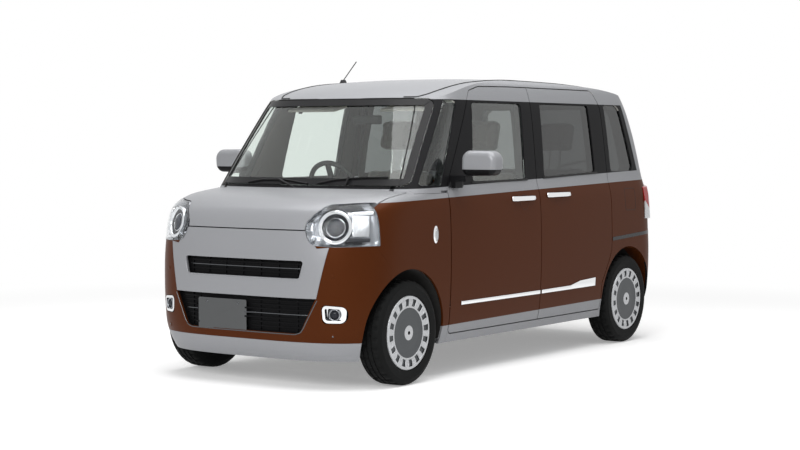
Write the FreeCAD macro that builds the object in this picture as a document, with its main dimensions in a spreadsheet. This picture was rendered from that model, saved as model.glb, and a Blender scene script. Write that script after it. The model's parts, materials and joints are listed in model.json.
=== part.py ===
import FreeCAD, Part
import math
import os
import re
import Sketcher
from FreeCAD import Placement, Rotation, Vector

# A small tall wagon of the kei class: driving dimensions in millimetres.
# The front faces -Y, the left side is +X, the wheels stand on z = 0.
SIZES = {
    "overall_length": 3395,
    "overall_width": 1475,
    "overall_height": 1655,
    "wheelbase": 2460,
    "front_overhang": 505,
    "track": 1302,
    "tyre_diameter": 557,
    "tyre_width": 155,
    "rim_diameter": 362,
    "cap_diameter": 392,
    "arch_radius": 330,
    "sill_height": 240,
    "belt_height": 1038,
    "door_front": -798,
    "door_split": 165,
    "door_rear": 1045,
    "door_top": 1597,
    "door_thickness": 92,
    "frame_depth": 46,
    "shut_gap": 6,
    "hinge_gap": 8,
    "skin": 12,
    "wall": 100,
    "glass_inset": 8,
    "glass_thickness": 4,
    "roof_thickness": 34,
    "bonnet_thickness": 30,
    "floor_height": 270,
    "floor_thickness": 40,
    "steering_wheel_diameter": 360,
    "seat_width": 500,
    "seat_height": 610,
    "engine_width": 560,
    "engine_length": 310,
    "engine_height": 400,
    "spindle_diameter": 28,
    "ball_height": 185,
    "stud_diameter": 16,
    "window_width": 14,
    "window_length": 40,
    "hinge_pin": 8,
    "seat_clearance": 0.3,
}

doc = FreeCAD.newDocument("kei_wagon")
sheet = doc.addObject("Spreadsheet::Sheet", "sizes")
for row, (alias, value) in enumerate(SIZES.items(), start=1):
    sheet.set(f"A{row}", alias)
    sheet.set(f"B{row}", str(value))
    sheet.setAlias(f"B{row}", alias)
sheet.set("A60", "front_axle_y")
sheet.set("B60", "=-overall_length / 2 + front_overhang")
sheet.setAlias("B60", "front_axle_y")
sheet.set("A61", "wheel_z")
sheet.set("B61", "=tyre_diameter / 2")
sheet.setAlias("B61", "wheel_z")
doc.recompute()
ALIASES = list(SIZES) + ["front_axle_y", "wheel_z"]


def size(alias):
    return float(sheet.get(alias))


LENGTH = size("overall_length")
HALF_WIDTH = size("overall_width") / 2
HEIGHT = size("overall_height")
NOSE = -LENGTH / 2
TAIL = LENGTH / 2
FRONT_AXLE = NOSE + size("front_overhang")
REAR_AXLE = FRONT_AXLE + size("wheelbase")
WHEEL_CENTRE = size("tyre_diameter") / 2
HALF_TRACK = size("track") / 2
BELT = size("belt_height")
SILL = size("sill_height")
GAP = size("shut_gap")
SKIN = size("skin")
SEAT = size("seat_clearance")
WALL = size("wall")
DOOR_FRONT = size("door_front")
DOOR_FRONT_POST = DOOR_FRONT - 60

# Body surface: how far the side stands in from the full width at each height.
SIDE_INSET = [(150, 47), (250, 25), (300, 15), (450, 4.5), (620, 0), (800, 2.5), (930, 9.5),
              (975, 16.5), (1040, 33.5), (1300, 67.5), (1505, 101.5), (1600, 135.5),
              (1615, 147.5), (1628, 169.5), (1637, 192.5), (1643, 217.5), (1650, 257.5)]
SHOULDER_INSET = [(150, 47), (250, 25), (300, 15), (450, 4.5), (620, 0), (800, 2.5), (930, 9.5),
                  (960, 15), (985, 25), (1005, 41), (1020, 65), (1030, 97)]
# Centre lines seen from the side: how far the nose and the tail stand in from the full length.
NOSE_INSET = [(150, 57), (190, 33), (250, 10), (300, 3), (450, 0), (580, 2), (670, 6), (826, 26),
              (906, 53), (945, 98), (985, 190), (1005, 290), (1020, 410), (1030, 508)]
TAIL_INSET = [(150, 57), (190, 33), (300, 8), (450, 0), (600, 5), (750, 17), (900, 25), (1030, 42),
              (1100, 57), (1300, 107), (1520, 187), (1600, 222), (1650, 246)]
SCREEN_INSET = [(1000, 490), (1030, 509), (1533, 887), (1600, 937), (1650, 987)]
# Roof centre line from the nose backwards, as a drop below the full height, and its crown.
ROOF_DROP = [(700, 190), (887, 122), (1097, 57), (1397, 18), (1797, 0), (2297, 3), (2697, 15),
             (3097, 52), (3247, 78), (3395, 112)]
ROOF_CROWN = [(887, 52), (1397, 24), (1797, 19), (2897, 22), (3247, 34)]
CROWN_WIDTH = 600
CROWN_POWER = 2.4
NOSE_ROUND = 500
NOSE_POWER = 3.5
SCREEN_ROUND = 300
SCREEN_POWER = 3.5
TAIL_ROUND = 300
TAIL_POWER = 5
FINE_STEPS = 300
LOW_HEIGHTS = [150, 190, 220, 250, 300, 370, 450, 540, 620, 710, 800, 870, 930]
NOSE_HEIGHTS = LOW_HEIGHTS + [945, 960, 975, 990, 1000, 1010, 1018, 1025, 1030]
CAB_HEIGHTS = LOW_HEIGHTS + [975, 1040, 1100, 1200, 1300, 1400, 1505, 1560, 1600, 1615, 1628, 1637, 1643,
                             1650]


def table_value(table, at):
    """Smooth value of a monotone table, carried on in a straight line past its ends."""
    xs = [a for a, _ in table]
    ys = [b for _, b in table]
    slopes = [(ys[i + 1] - ys[i]) / (xs[i + 1] - xs[i]) for i in range(len(xs) - 1)]
    tangents = [slopes[0]]
    for before, after in zip(slopes, slopes[1:]):
        turns = before * after <= 0
        tangents.append(0 if turns else 2 / (1 / before + 1 / after))
    tangents.append(slopes[-1])
    if at <= xs[0]:
        return ys[0] + tangents[0] * (at - xs[0])
    if at >= xs[-1]:
        return ys[-1] + tangents[-1] * (at - xs[-1])
    i = max(k for k in range(len(xs) - 1) if xs[k] <= at)
    step = xs[i + 1] - xs[i]
    t = (at - xs[i]) / step
    return ((2 * t**3 - 3 * t**2 + 1) * ys[i] + (t**3 - 2 * t**2 + t) * step * tangents[i]
            + (3 * t**2 - 2 * t**3) * ys[i + 1] + (t**3 - t**2) * step * tangents[i + 1])


def cab_half(z):
    return HALF_WIDTH - table_value(SIDE_INSET, z)


def nose_half(z, y):
    """Half width of the nose, which takes the cab's section on its way back to the door."""
    blend = min(1, max(0, (y + 1250) / 350))
    blend = blend * blend * (3 - 2 * blend)
    return (1 - blend) * (HALF_WIDTH - table_value(SHOULDER_INSET, z)) + blend * cab_half(z)


def quarter(half, reach, power, steps):
    """One rounded corner in plan: evenly spaced (x, distance forward), from the side to the centre line."""
    fine = []
    for i in range(FINE_STEPS + 1):
        angle = math.pi / 2 * i / FINE_STEPS
        across = half * max(0, math.cos(angle)) ** (2 / power)
        fine.append((across, reach * math.sin(angle) ** (2 / power)))
    fine[-1] = (0, reach)
    walked = [0]
    for one, other in zip(fine, fine[1:]):
        walked.append(walked[-1] + math.dist(one, other))
    corner = []
    k = 0
    for i in range(steps + 1):
        goal = walked[-1] * i / steps
        while k < FINE_STEPS - 1 and walked[k + 1] < goal:
            k += 1
        share = (goal - walked[k]) / (walked[k + 1] - walked[k])
        corner.append(tuple(a + (b - a) * share for a, b in zip(fine[k], fine[k + 1])))
    return corner


def nose_row(z, both=True):
    """Section of the nose at one height, from the left door edge round to the right one."""
    start = NOSE + table_value(NOSE_INSET, z) + NOSE_ROUND
    left = []
    for k in range(6):
        y = -740 + (start + 740) * k / 6
        left.append(Vector(nose_half(z, y), y, z))
    for x, along in quarter(HALF_WIDTH, NOSE_ROUND, NOSE_POWER, 14):
        y = start - along
        left.append(Vector(x / HALF_WIDTH * nose_half(z, y), y, z))
    if not both:
        return left
    return left + [Vector(-p.x, p.y, p.z) for p in reversed(left[:-1])]


def cab_row(z, inset=0):
    """Left half of the cab at one height, from the tail's centre line to the screen's."""
    half = cab_half(z) - inset
    tail_round = TAIL_ROUND - 0.6 * inset
    screen_round = SCREEN_ROUND - 0.3 * inset
    rear = TAIL - inset - table_value(TAIL_INSET, z) - tail_round
    front = NOSE + inset + table_value(SCREEN_INSET, max(z, 1000)) + screen_round
    row = [Vector(x, rear + along, z) for x, along in reversed(quarter(half, tail_round, TAIL_POWER, 14))]
    for k in range(1, 8):
        row.append(Vector(half, rear + (front - rear) * k / 8, z))
    return row + [Vector(x, front - along, z) for x, along in quarter(half, screen_round, SCREEN_POWER, 12)]


def roof_height(x, y):
    at = y - NOSE
    crown = table_value(ROOF_CROWN, at) * (abs(x) / CROWN_WIDTH) ** CROWN_POWER
    return HEIGHT - table_value(ROOF_DROP, at) - crown


def offset_grid(grid, depth):
    """The grid moved inward by a depth along its own normals."""
    rows = len(grid)
    columns = len(grid[0])
    moved = []
    for i in range(rows):
        line = []
        for j in range(columns):
            up = grid[min(i + 1, rows - 1)][j] - grid[max(i - 1, 0)][j]
            along = grid[i][min(j + 1, columns - 1)] - grid[i][max(j - 1, 0)]
            normal = up.cross(along)
            normal.normalize()
            line.append(grid[i][j] - normal * depth)
        moved.append(line)
    return moved


def solid_between(outer, inner):
    """Closed solid between two surfaces, each passing through a grid of points."""
    surfaces = []
    for grid in (outer, inner):
        surface = Part.BSplineSurface()
        surface.interpolate(grid)
        surfaces.append(surface)
    faces = [surface.toShape() for surface in surfaces]
    rims = []
    for surface in surfaces:
        u0, u1, v0, v1 = surface.bounds()
        rims.append([surface.uIso(u0), surface.uIso(u1), surface.vIso(v0), surface.vIso(v1)])
    for one, other in zip(*rims):
        faces.append(Part.makeRuledSurface(one.toShape(), other.toShape()))
    shell = Part.Shell(faces)
    shell.sewShape()
    solid = Part.Solid(shell)
    if solid.Volume < 0:
        solid.reverse()
    return solid


def slab(grid, outer, inner):
    """Solid between two depths under a surface, measured square to it."""
    return solid_between(offset_grid(grid, outer), offset_grid(grid, inner))


def cab_slab(outer, inner, heights=None):
    """Solid between two insets of the cab's left half."""
    levels = heights or CAB_HEIGHTS
    return solid_between([cab_row(z, outer) for z in levels], [cab_row(z, inner) for z in levels])


def tail_slab(outer, inner, heights=None):
    """Solid between two insets of the cab's tail, both sides."""
    levels = heights or CAB_HEIGHTS
    grids = [[both_halves(cab_row(z, inset)[:TAIL_END]) for z in levels] for inset in (outer, inner)]
    return solid_between(*grids)


def screen_slab(outer, inner):
    """Solid between two insets of the cab's front, both sides."""
    grids = [[both_halves(cab_row(z, inset)[SCREEN_START:]) for z in SCREEN_HEIGHTS] for inset in (outer, inner)]
    return solid_between(*grids)


def rounded_wire(points):
    """Closed outline from (a, b) or (a, b, corner radius) points, in the plane z = 0."""
    count = len(points)
    corners = []
    for i, point in enumerate(points):
        here = Vector(point[0], point[1], 0)
        radius = point[2] if len(point) > 2 else 0
        before = Vector(*points[i - 1][:2], 0) - here
        after = Vector(*points[(i + 1) % count][:2], 0) - here
        half_turn = before.getAngle(after) / 2
        if radius == 0:
            corners.append((here, None, here))
            continue
        reach = radius / math.tan(half_turn)
        before.normalize()
        after.normalize()
        middle = before + after
        middle.normalize()
        tip = here + middle * (radius / math.sin(half_turn) - radius)
        corners.append((here + before * reach, tip, here + after * reach))
    edges = []
    for i, (start, tip, end) in enumerate(corners):
        if tip is not None:
            edges.append(Part.Arc(start, tip, end).toShape())
        following = corners[(i + 1) % count][0]
        if (following - end).Length > 1e-6:
            edges.append(Part.LineSegment(end, following).toShape())
    return Part.Wire(edges)


def along_x(solid):
    """Stand a solid drawn in (y, z) and extruded along z on the x axis instead."""
    solid.rotate(Vector(0, 0, 0), Vector(1, 1, 1), 120)
    return solid


def along_y(solid):
    """Turn a solid drawn in (x, z) and extruded along -z so that it runs along y."""
    solid.rotate(Vector(0, 0, 0), Vector(1, 0, 0), 90)
    return solid


def prism(points, axis, low, high, grow=0):
    """Solid with a given outline across one axis, between two places along it."""
    wire = rounded_wire(points)
    if grow:
        wire = wire.makeOffset2D(grow)
    sense = -1 if axis == "y" else 1
    solid = Part.Face(wire).extrude(Vector(0, 0, sense * (high - low)))
    solid.translate(Vector(0, 0, sense * low))
    if axis == "x":
        return along_x(solid)
    return along_y(solid) if axis == "y" else solid


def cylinder(radius, length, at, direction):
    return Part.makeCylinder(radius, length, Vector(*at), Vector(*direction))


def box(low, high):
    return Part.makeBox(high[0] - low[0], high[1] - low[1], high[2] - low[2], Vector(*low))


def mirrored(shape):
    return shape.mirror(Vector(0, 0, 0), Vector(1, 0, 0))


def both_sides(shape):
    return Part.makeCompound([shape, mirrored(shape)])


def joined(shapes):
    first = shapes[0].fuse(shapes[1:])
    return first.removeSplitter()


NODES = []


def add_shape(label, shape):
    """One sub-part whose surface is free-form."""
    feature = doc.addObject("Part::Feature", label)
    feature.Label = label
    feature.Shape = shape
    NODES.append(feature)
    return feature


def side_x(y, z):
    """How far out the cab's side stands at a place and height."""
    half = cab_half(z)
    start = NOSE + table_value(SCREEN_INSET, max(z, 1000)) + SCREEN_ROUND
    share = min(1, max(0, (start - y) / SCREEN_ROUND))
    return half * (1 - share**SCREEN_POWER) ** (1 / SCREEN_POWER)


def both_halves(half_row):
    """A half section that ends on the centre line, carried on to the other side."""
    if half_row[0].x < 1e-6:
        return [Vector(-p.x, p.y, p.z) for p in reversed(half_row[1:])] + half_row
    return half_row + [Vector(-p.x, p.y, p.z) for p in reversed(half_row[:-1])]


TAIL_END = 19
SCREEN_START = 21
SCREEN_HEIGHTS = [1020, 1060, 1120, 1200, 1300, 1400, 1480, 1540, 1600]
nose_grid = [nose_row(z) for z in NOSE_HEIGHTS]
nose_left_grid = [nose_row(z, both=False) for z in NOSE_HEIGHTS]


def flange_grid(inset):
    """Surface behind the doors, from the quarter panel forward to the screen pillar."""
    grid = []
    for z in CAB_HEIGHTS[1:-3]:
        foremost = max(DOOR_FRONT_POST + 12, NOSE + table_value(SCREEN_INSET, max(z, 1000)) + 60 + inset)
        steps = [1150 + (foremost - 1150) * k / 16 for k in range(17)]
        grid.append([Vector(side_x(y, z) - inset, y, z) for y in steps])
    return grid


roof_grid = []
for k in range(19):
    y = NOSE + 780 + (LENGTH - 790) * k / 18
    roof_grid.append([Vector(x, y, roof_height(x, y)) for x in [680 - 85 * i for i in range(17)]])

# Outlines seen from the side, as (y, z, corner radius).
SPLIT = size("door_split")
DOOR_REAR = size("door_rear")
DOOR_TOP = size("door_top")
front_door_outline = [(DOOR_FRONT, SILL, 30), (DOOR_FRONT, BELT - 8), (-485, 1520, 60),
                      (-447, 1566, 30), (-330, DOOR_TOP - 6), (0, DOOR_TOP), (SPLIT + 32, DOOR_TOP),
                      (SPLIT, BELT), (SPLIT, SILL)]
sliding_door_outline = [(SPLIT + GAP, SILL), (SPLIT + GAP, BELT), (SPLIT + 32 + GAP, DOOR_TOP),
                        (DOOR_REAR - 55, DOOR_TOP, 50), (DOOR_REAR, 1500, 90),
                        (DOOR_REAR, 600, 200), (925, 400, 60), (925, SILL)]
front_window = [(-533, 1062, 25), (-450, 1503, 30), (83, 1503, 20), (44, 1062, 20)]
sliding_window = [(262, 1075, 20), (301, 1506, 20), (894, 1506, 20), (894, 1095, 20)]
quarter_window = [(1100, 1094, 20), (1100, 1513, 20), (1295, 1513, 60), (1407, 1094, 40)]
corner_window = [(-1042, 1046, 12), (-696, 1510, 12), (-598, 1510, 25), (-850, 1046, 12)]


def side_prism(outline, grow=0):
    return prism(outline, "x", 300, 900, grow)


def glass(make_slab, outline_prism):
    inset = size("glass_inset")
    return make_slab(inset, inset + size("glass_thickness")).common(outline_prism)


# Body shell
WINDSCREEN = [(-655, 1042, 40), (-584, 1522, 60), (584, 1522, 60), (655, 1042, 40)]
TAILGATE = [(-612, 610, 30), (-600, 1040), (-545, 1578, 40), (545, 1578, 40), (600, 1040), (612, 610, 30)]
REAR_WINDOW = [(-535, 1085, 50), (-478, 1490, 60), (478, 1490, 60), (535, 1085, 50)]
TAIL_LAMP = [(619, 760, 10), (619, 1010, 10), (720, 990, 20), (760, 790, 30)]
REAR_BUMPER = [(1500, 185), (1500, 470, 20), (1575, 600), (1800, 600), (1800, 185)]


LINER = 8
FRONT_LINER_X = 408
REAR_LINER_X = 545
REAR_LINER_END = 635


def arch_drum(axle, inner, outer=746):
    """Space taken by a wheel arch and its liner, from its inner end outward."""
    radius = size("arch_radius") + LINER + SEAT
    return cylinder(radius, outer - inner + 2 * SEAT, (inner - SEAT, axle, WHEEL_CENTRE + 6), (1, 0, 0))


def wheel_hole(axle, radius):
    return cylinder(radius, 2000, (-1000, axle, WHEEL_CENTRE + 6), (1, 0, 0))


# The bonnet turns on two pins under the feet of the screen pillars, which are notched for its arms.
BONNET_PIN = Vector(590, -1100, 994)
ARM_LOW = 570
ARM_HIGH = 582
ARM_SWING = [(-1175, 1000), (-1092, 1000), (-1122, 1046), (-1175, 1046)]
ROOF_PLAN = [(-530, -772, 190), (530, -772, 190), (530, 1400, 70), (-530, 1400, 70)]


def roof_shape():
    """Crowned roof panel between the two ditches."""
    return slab(roof_grid, 0, size("roof_thickness")).common(prism(ROOF_PLAN, "z", 1300, 1800))


def body_side():
    """Side frame with its pillars, sill, quarter panel and the flange that the doors seat on."""
    frame = cab_slab(0, WALL)
    frame = frame.cut(box((-100, -2000, 0), (900, DOOR_FRONT_POST, BELT - 32)))
    frame = frame.cut(box((-100, -2000, 0), (900, 2000, 190)))
    flange = solid_between(flange_grid(WALL - 1), flange_grid(WALL + 26))
    for opening in (front_door_outline, sliding_door_outline):
        frame = frame.cut(side_prism(opening, GAP))
        flange = flange.cut(side_prism(opening, -28))
    fender_seat = prism([(DOOR_FRONT_POST - 10, 100), (DOOR_FRONT_POST - 10, BELT - 20),
                         (DOOR_FRONT - GAP, BELT - 20), (DOOR_FRONT - GAP, 100)], "x", 300, 900)
    frame = frame.cut(cab_slab(-5, SKIN + 3).common(fender_seat))
    for window in (quarter_window, corner_window):
        frame = frame.cut(side_prism(window))
    side = frame.fuse(flange)
    side = side.cut(prism(WINDSCREEN, "y", -1400, -500))
    side = side.cut(prism(TAILGATE, "y", 1200, 1800, GAP))
    side = side.cut(prism(TAIL_LAMP, "y", 1500, 1800, 0.5))
    side = side.cut(tail_slab(-60, SKIN + SEAT).common(prism(REAR_BUMPER, "x", -900, 900)))
    side = side.cut(wheel_hole(REAR_AXLE, size("arch_radius")))
    side = side.cut(arch_drum(REAR_AXLE, REAR_LINER_X, REAR_LINER_END))
    side = side.cut(arch_drum(FRONT_AXLE, FRONT_LINER_X))
    side = side.cut(prism(ARM_SWING, "x", ARM_LOW - GAP, ARM_HIGH + GAP))
    return side.cut(slab(roof_grid, -160, 0)).cut(roof_shape())


left_side = body_side()
body = left_side.fuse(mirrored(left_side))
add_shape("body_shell", body)

roof = roof_shape().cut(prism(WINDSCREEN, "y", -1400, -500))
add_shape("roof_panel", roof)

# Glass that is fixed to the body
windscreen = glass(screen_slab, prism(WINDSCREEN, "y", -1400, -500))
add_shape("windscreen", windscreen)
fixed = [glass(cab_slab, side_prism(quarter_window)), glass(cab_slab, side_prism(corner_window))]
add_shape("side_glass", Part.makeCompound(fixed + [mirrored(pane) for pane in fixed]))


# Hinges: a goose-neck bracket with its pin, and the eye that turns on it
HINGE_HALF = 30
EYE_HALF = 18
PIN = size("hinge_pin") / 2
EYE = 6


def hinge_frame(shape, pin_at, outward, onward):
    """A hinge drawn about z, with x outward and y towards the panel, stood at its place."""
    across = outward.cross(onward)
    matrix = FreeCAD.Matrix(outward.x, onward.x, across.x, pin_at.x, outward.y, onward.y, across.y, pin_at.y,
                            outward.z, onward.z, across.z, pin_at.z, 0, 0, 0, 1)
    moved = shape.copy()
    moved.Placement = Placement(matrix)
    return moved


def hinge_bracket(stand):
    """Fixed half: it stands on a face that lies some way behind the pin."""
    parts = [cylinder(PIN, 2 * HINGE_HALF, (0, 0, -HINGE_HALF), (0, 0, 1))]
    parts.append(box((-60, -stand, -HINGE_HALF), (-48, 6, HINGE_HALF)))
    for foot in (-HINGE_HALF, EYE_HALF + 2):
        parts.append(box((-60, -6, foot), (0, 6, foot + HINGE_HALF - EYE_HALF - 2)))
        parts.append(cylinder(EYE, HINGE_HALF - EYE_HALF - 2, (0, 0, foot), (0, 0, 1)))
    return joined(parts)


def hinge_eye(reach):
    """Turning half: an eye on the pin and the arm that joins it to the panel."""
    eye = cylinder(EYE, 2 * EYE_HALF, (0, 0, -EYE_HALF), (0, 0, 1))
    eye = eye.fuse(box((-4, 0, -EYE_HALF), (4, reach, EYE_HALF)))
    return eye.cut(cylinder(PIN + 0.05, 2 * EYE_HALF, (0, 0, -EYE_HALF), (0, 0, 1)))


def hinge_recess():
    """Space that the bracket needs in the panel as it opens."""
    return box((-76, -40, -HINGE_HALF - 6), (EYE + 1, 13, HINGE_HALF + 6))


DOOR_PIN_X = 722
DOOR_PIN_Y = -780
DOOR_HINGES = [Vector(DOOR_PIN_X, DOOR_PIN_Y, z) for z in (420, 840)]
GATE_PIN = Vector(0, 1480, 1566)
GATE_HINGES = [Vector(x, GATE_PIN.y, GATE_PIN.z) for x in (-400, 400)]
OUT_X = Vector(1, 0, 0)
OUT_Y = Vector(0, 1, 0)
DOWN = Vector(0, 0, -1)


# Doors
def door_shell(outline, window):
    """Door: a full-height leaf with its window frame, and a deeper inner panel below the belt."""
    leaf = cab_slab(0, size("frame_depth")).common(side_prism(outline)).cut(side_prism(window))
    below_belt = [(-1000, 150), (-1000, BELT - 12), (1300, BELT - 12), (1300, 150)]
    panel = cab_slab(size("frame_depth") - 1, size("door_thickness"))
    panel = panel.common(side_prism(outline, -22)).common(side_prism(below_belt))
    return leaf.fuse(panel)


front_door = door_shell(front_door_outline, front_window)
for pin_at in DOOR_HINGES:
    front_door = front_door.cut(hinge_frame(hinge_recess(), pin_at, OUT_X, OUT_Y))
    front_door = front_door.fuse(hinge_frame(hinge_eye(15), pin_at, OUT_X, OUT_Y))
door_stand = DOOR_PIN_Y - DOOR_FRONT + GAP
brackets = joined([hinge_frame(hinge_bracket(door_stand), pin_at, OUT_X, OUT_Y) for pin_at in DOOR_HINGES])
gate_stand = 1578 + GAP - GATE_PIN.z
gate_brackets = [hinge_frame(hinge_bracket(gate_stand), pin_at, OUT_Y, DOWN) for pin_at in GATE_HINGES]
add_shape("hinge_brackets", Part.makeCompound([both_sides(brackets)] + gate_brackets))
front_pane = glass(cab_slab, side_prism(front_window))
sliding_door = door_shell(sliding_door_outline, sliding_window)
sliding_door = sliding_door.cut(wheel_hole(REAR_AXLE, size("arch_radius")))
sliding_pane = glass(cab_slab, side_prism(sliding_window))
for side, place in (("left", lambda s: s), ("right", mirrored)):
    add_shape(f"front_door_{side}", place(front_door))
    add_shape(f"front_door_glass_{side}", place(front_pane))
add_shape("sliding_doors", both_sides(sliding_door))
add_shape("sliding_door_glass", both_sides(sliding_pane))

# Tailgate
gate = tail_slab(0, 22).common(prism(TAILGATE, "y", 1200, 1800))
gate_inner = [(-590, 635, 30), (-575, 1040), (-530, 1495, 40), (530, 1495, 40), (575, 1040), (590, 635, 30)]
gate = gate.fuse(tail_slab(21, 62).common(prism(gate_inner, "y", 1200, 1800)))
gate = gate.cut(prism(REAR_WINDOW, "y", 1200, 1800))
gate = gate.cut(tail_slab(-60, SKIN + 4).common(prism(REAR_BUMPER, "x", -900, 900, 6)))
for pin_at in GATE_HINGES:
    gate = gate.cut(hinge_frame(hinge_recess(), pin_at, OUT_Y, DOWN))
    gate = gate.fuse(hinge_frame(hinge_eye(15), pin_at, OUT_Y, DOWN))
add_shape("tailgate", gate)
add_shape("tailgate_glass", glass(tail_slab, prism(REAR_WINDOW, "y", 1200, 1800)))

# Nose panels
COWL_LOW = 944
COWL_HIGH = 958
BONNET_FRONT = 826
PLATE_X = -129
PLATE_PITCH = 210
PLATE_HOLES_Z = 432
HEADLAMP = [(388, 850, 70), (470, 951, 40), (620, 962), (800, 962), (800, 752), (560, 745, 30), (430, 752, 60)]
MASK = [(-396, 826), (396, 826), (470, 735), (533, 742), (474, 477), (-474, 477), (-533, 742), (-470, 735)]
UPPER_GRILLE = [(-400, 670, 14), (400, 670, 14), (376, 578, 14), (-376, 578, 14)]
LOWER_GRILLE = [(-470, 477), (470, 477), (380, 295, 40), (-380, 295, 40)]
FOG_LAMP = [(500, 448, 20), (628, 440, 40), (618, 352, 40), (505, 352, 20)]
bonnet_plan = [(-410, -1800), (410, -1800), (560, -1560), (668, -1430), (668, -1146), (420, -1205),
               (0, -1238), (-420, -1205), (-668, -1146), (-668, -1430), (-560, -1560)]
nose_cut = (-1800, -1000)

bonnet = slab(nose_grid, 0, size("bonnet_thickness"))
bonnet = bonnet.common(prism(bonnet_plan, "z", 700, 1100))
bonnet = bonnet.common(box((-800, -1800, BONNET_FRONT + GAP / 2), (800, -1100, 1100)))
lamp_hole = prism(HEADLAMP, "y", -1800, -1400, GAP)
bonnet = bonnet.cut(lamp_hole).cut(mirrored(lamp_hole))
arm_back = BONNET_PIN.y + 6
bonnet_arm = box((ARM_LOW, -1248, BONNET_PIN.z - 6), (ARM_HIGH, arm_back, BONNET_PIN.z + 6))
bonnet_arm = bonnet_arm.fuse(cylinder(EYE + 2, ARM_HIGH - ARM_LOW, (ARM_LOW, BONNET_PIN.y, BONNET_PIN.z), (1, 0, 0)))
bonnet_arm = bonnet_arm.cut(cylinder(PIN + 0.05, ARM_HIGH - ARM_LOW, (ARM_LOW, BONNET_PIN.y, BONNET_PIN.z),
                                     (1, 0, 0)))
bonnet = bonnet.fuse([bonnet_arm, mirrored(bonnet_arm)])
add_shape("bonnet", bonnet)

skin = slab(nose_grid, 0, SKIN)
mask = skin.common(prism(MASK, "y", -1800, -1450, -0.5)).cut(prism(UPPER_GRILLE, "y", -1800, -1400))
mask = mask.common(box((-800, -1800, 477), (800, -1400, BONNET_FRONT - GAP / 2)))
mask = mask.cut(prism(HEADLAMP, "y", -1800, -1400, 1)).cut(mirrored(prism(HEADLAMP, "y", -1800, -1400, 1)))
add_shape("front_mask", mask)
GRILLE_DEPTH = 26
grille_block = slab(nose_grid, SKIN + SEAT, GRILLE_DEPTH + 16)
grille_mouth = slab(nose_grid, SKIN - 5, GRILLE_DEPTH)


def grille_tub(outline):
    """A panel set back behind its opening, with a rim that seats on the back of the skin round it."""
    tub = grille_block.common(prism(outline, "y", -1800, -1400, 12))
    return tub.cut(grille_mouth.common(prism(outline, "y", -1800, -1400, -1)))


upper_grille = grille_tub(UPPER_GRILLE)
lower_grille = grille_tub(LOWER_GRILLE)
plate_bracket = box((PLATE_X - 160, NOSE + 7, 300), (PLATE_X + 160, NOSE + 9.5, 450))
for x in (PLATE_X - PLATE_PITCH / 2, PLATE_X + PLATE_PITCH / 2):
    plate_bracket = plate_bracket.fuse(cylinder(9, 24, (x, NOSE + 9, PLATE_HOLES_Z), (0, 1, 0)))
for x in (PLATE_X - 140, PLATE_X + 140):
    plate_bracket = plate_bracket.fuse(box((x - 8, NOSE + 9, 305), (x + 8, NOSE + 32, 325)))
lower_grille = lower_grille.fuse(plate_bracket)
for x in (PLATE_X - PLATE_PITCH / 2, PLATE_X + PLATE_PITCH / 2):
    lower_grille = lower_grille.cut(cylinder(3.2, 66, (x, NOSE, PLATE_HOLES_Z), (0, 1, 0)))
add_shape("front_grilles", Part.makeCompound([upper_grille, lower_grille]))

bumper_side = [(-1800, 250), (-1800, 1000), (-1461, 1000), (-1461, 744), (-1364, 630), (-1364, 250)]
bumper = skin.common(prism(bumper_side, "x", -900, 900)).common(box((-900, -1800, 250), (900, -1300, 826)))
for opening in (MASK, LOWER_GRILLE, HEADLAMP, FOG_LAMP):
    hole = prism(opening, "y", -1800, -1400, 0.5)
    bumper = bumper.cut(hole)
    if opening in (HEADLAMP, FOG_LAMP):
        bumper = bumper.cut(mirrored(hole))
above_mask = [(-430, 816), (-430, 1000), (430, 1000), (430, 816)]
bumper = bumper.cut(prism(above_mask, "y", -1800, -1400, 0.5))
bumper = bumper.cut(wheel_hole(FRONT_AXLE, size("arch_radius")))
add_shape("front_bumper", bumper)
skirt_side = [(-1800, 145), (-1800, 249.5), (-1364, 249.5), (-1364, 145)]
skirt = skin.common(prism(skirt_side, "x", -900, 900)).cut(wheel_hole(FRONT_AXLE, size("arch_radius")))
add_shape("front_skirt", skirt)

fender_side = [(-1460.5, 1040), (-1460.5, 744.5), (-1363.5, 630), (-1363.5, 190), (DOOR_FRONT - size("hinge_gap"), 190),
               (DOOR_FRONT - size("hinge_gap"), 1004), (-1100, 1004), (-1100, 1040)]
fender = slab(nose_left_grid, 0, SKIN).common(prism(fender_side, "x", 655, 900))
fender = fender.cut(prism(bonnet_plan, "z", 700, 1100, 5))
fender = fender.cut(box((640, -1160, 900), (673, -1130, 1100)))
fender = fender.cut(wheel_hole(FRONT_AXLE, size("arch_radius")))
fender = fender.cut(prism(HEADLAMP, "y", -1800, -1437, 1))
lamp_volume = slab(nose_left_grid, -3, 36).common(prism(HEADLAMP, "y", -1800, -1440))
fog = slab(nose_left_grid, 0, 36).common(prism(FOG_LAMP, "y", -1800, -1400))
fog = fog.cut(wheel_hole(FRONT_AXLE, size("arch_radius") + 8 + SEAT))
add_shape("front_fenders", both_sides(fender))
add_shape("headlamps", both_sides(lamp_volume))
add_shape("fog_lamps", both_sides(fog))

tail_skin = tail_slab(0, SKIN)
rear_bumper = tail_skin.common(prism(REAR_BUMPER, "x", -900, 900))
rear_bumper = rear_bumper.cut(wheel_hole(REAR_AXLE, size("arch_radius")))
add_shape("rear_bumper", rear_bumper)
tail_lamp = cab_slab(-14, 40).common(prism(TAIL_LAMP, "y", 1500, 1800))
tail_lamp = tail_lamp.common(box((600, 1400, 700), (HALF_WIDTH, 1800, 1100)))
add_shape("tail_lamps", both_sides(tail_lamp))

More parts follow.
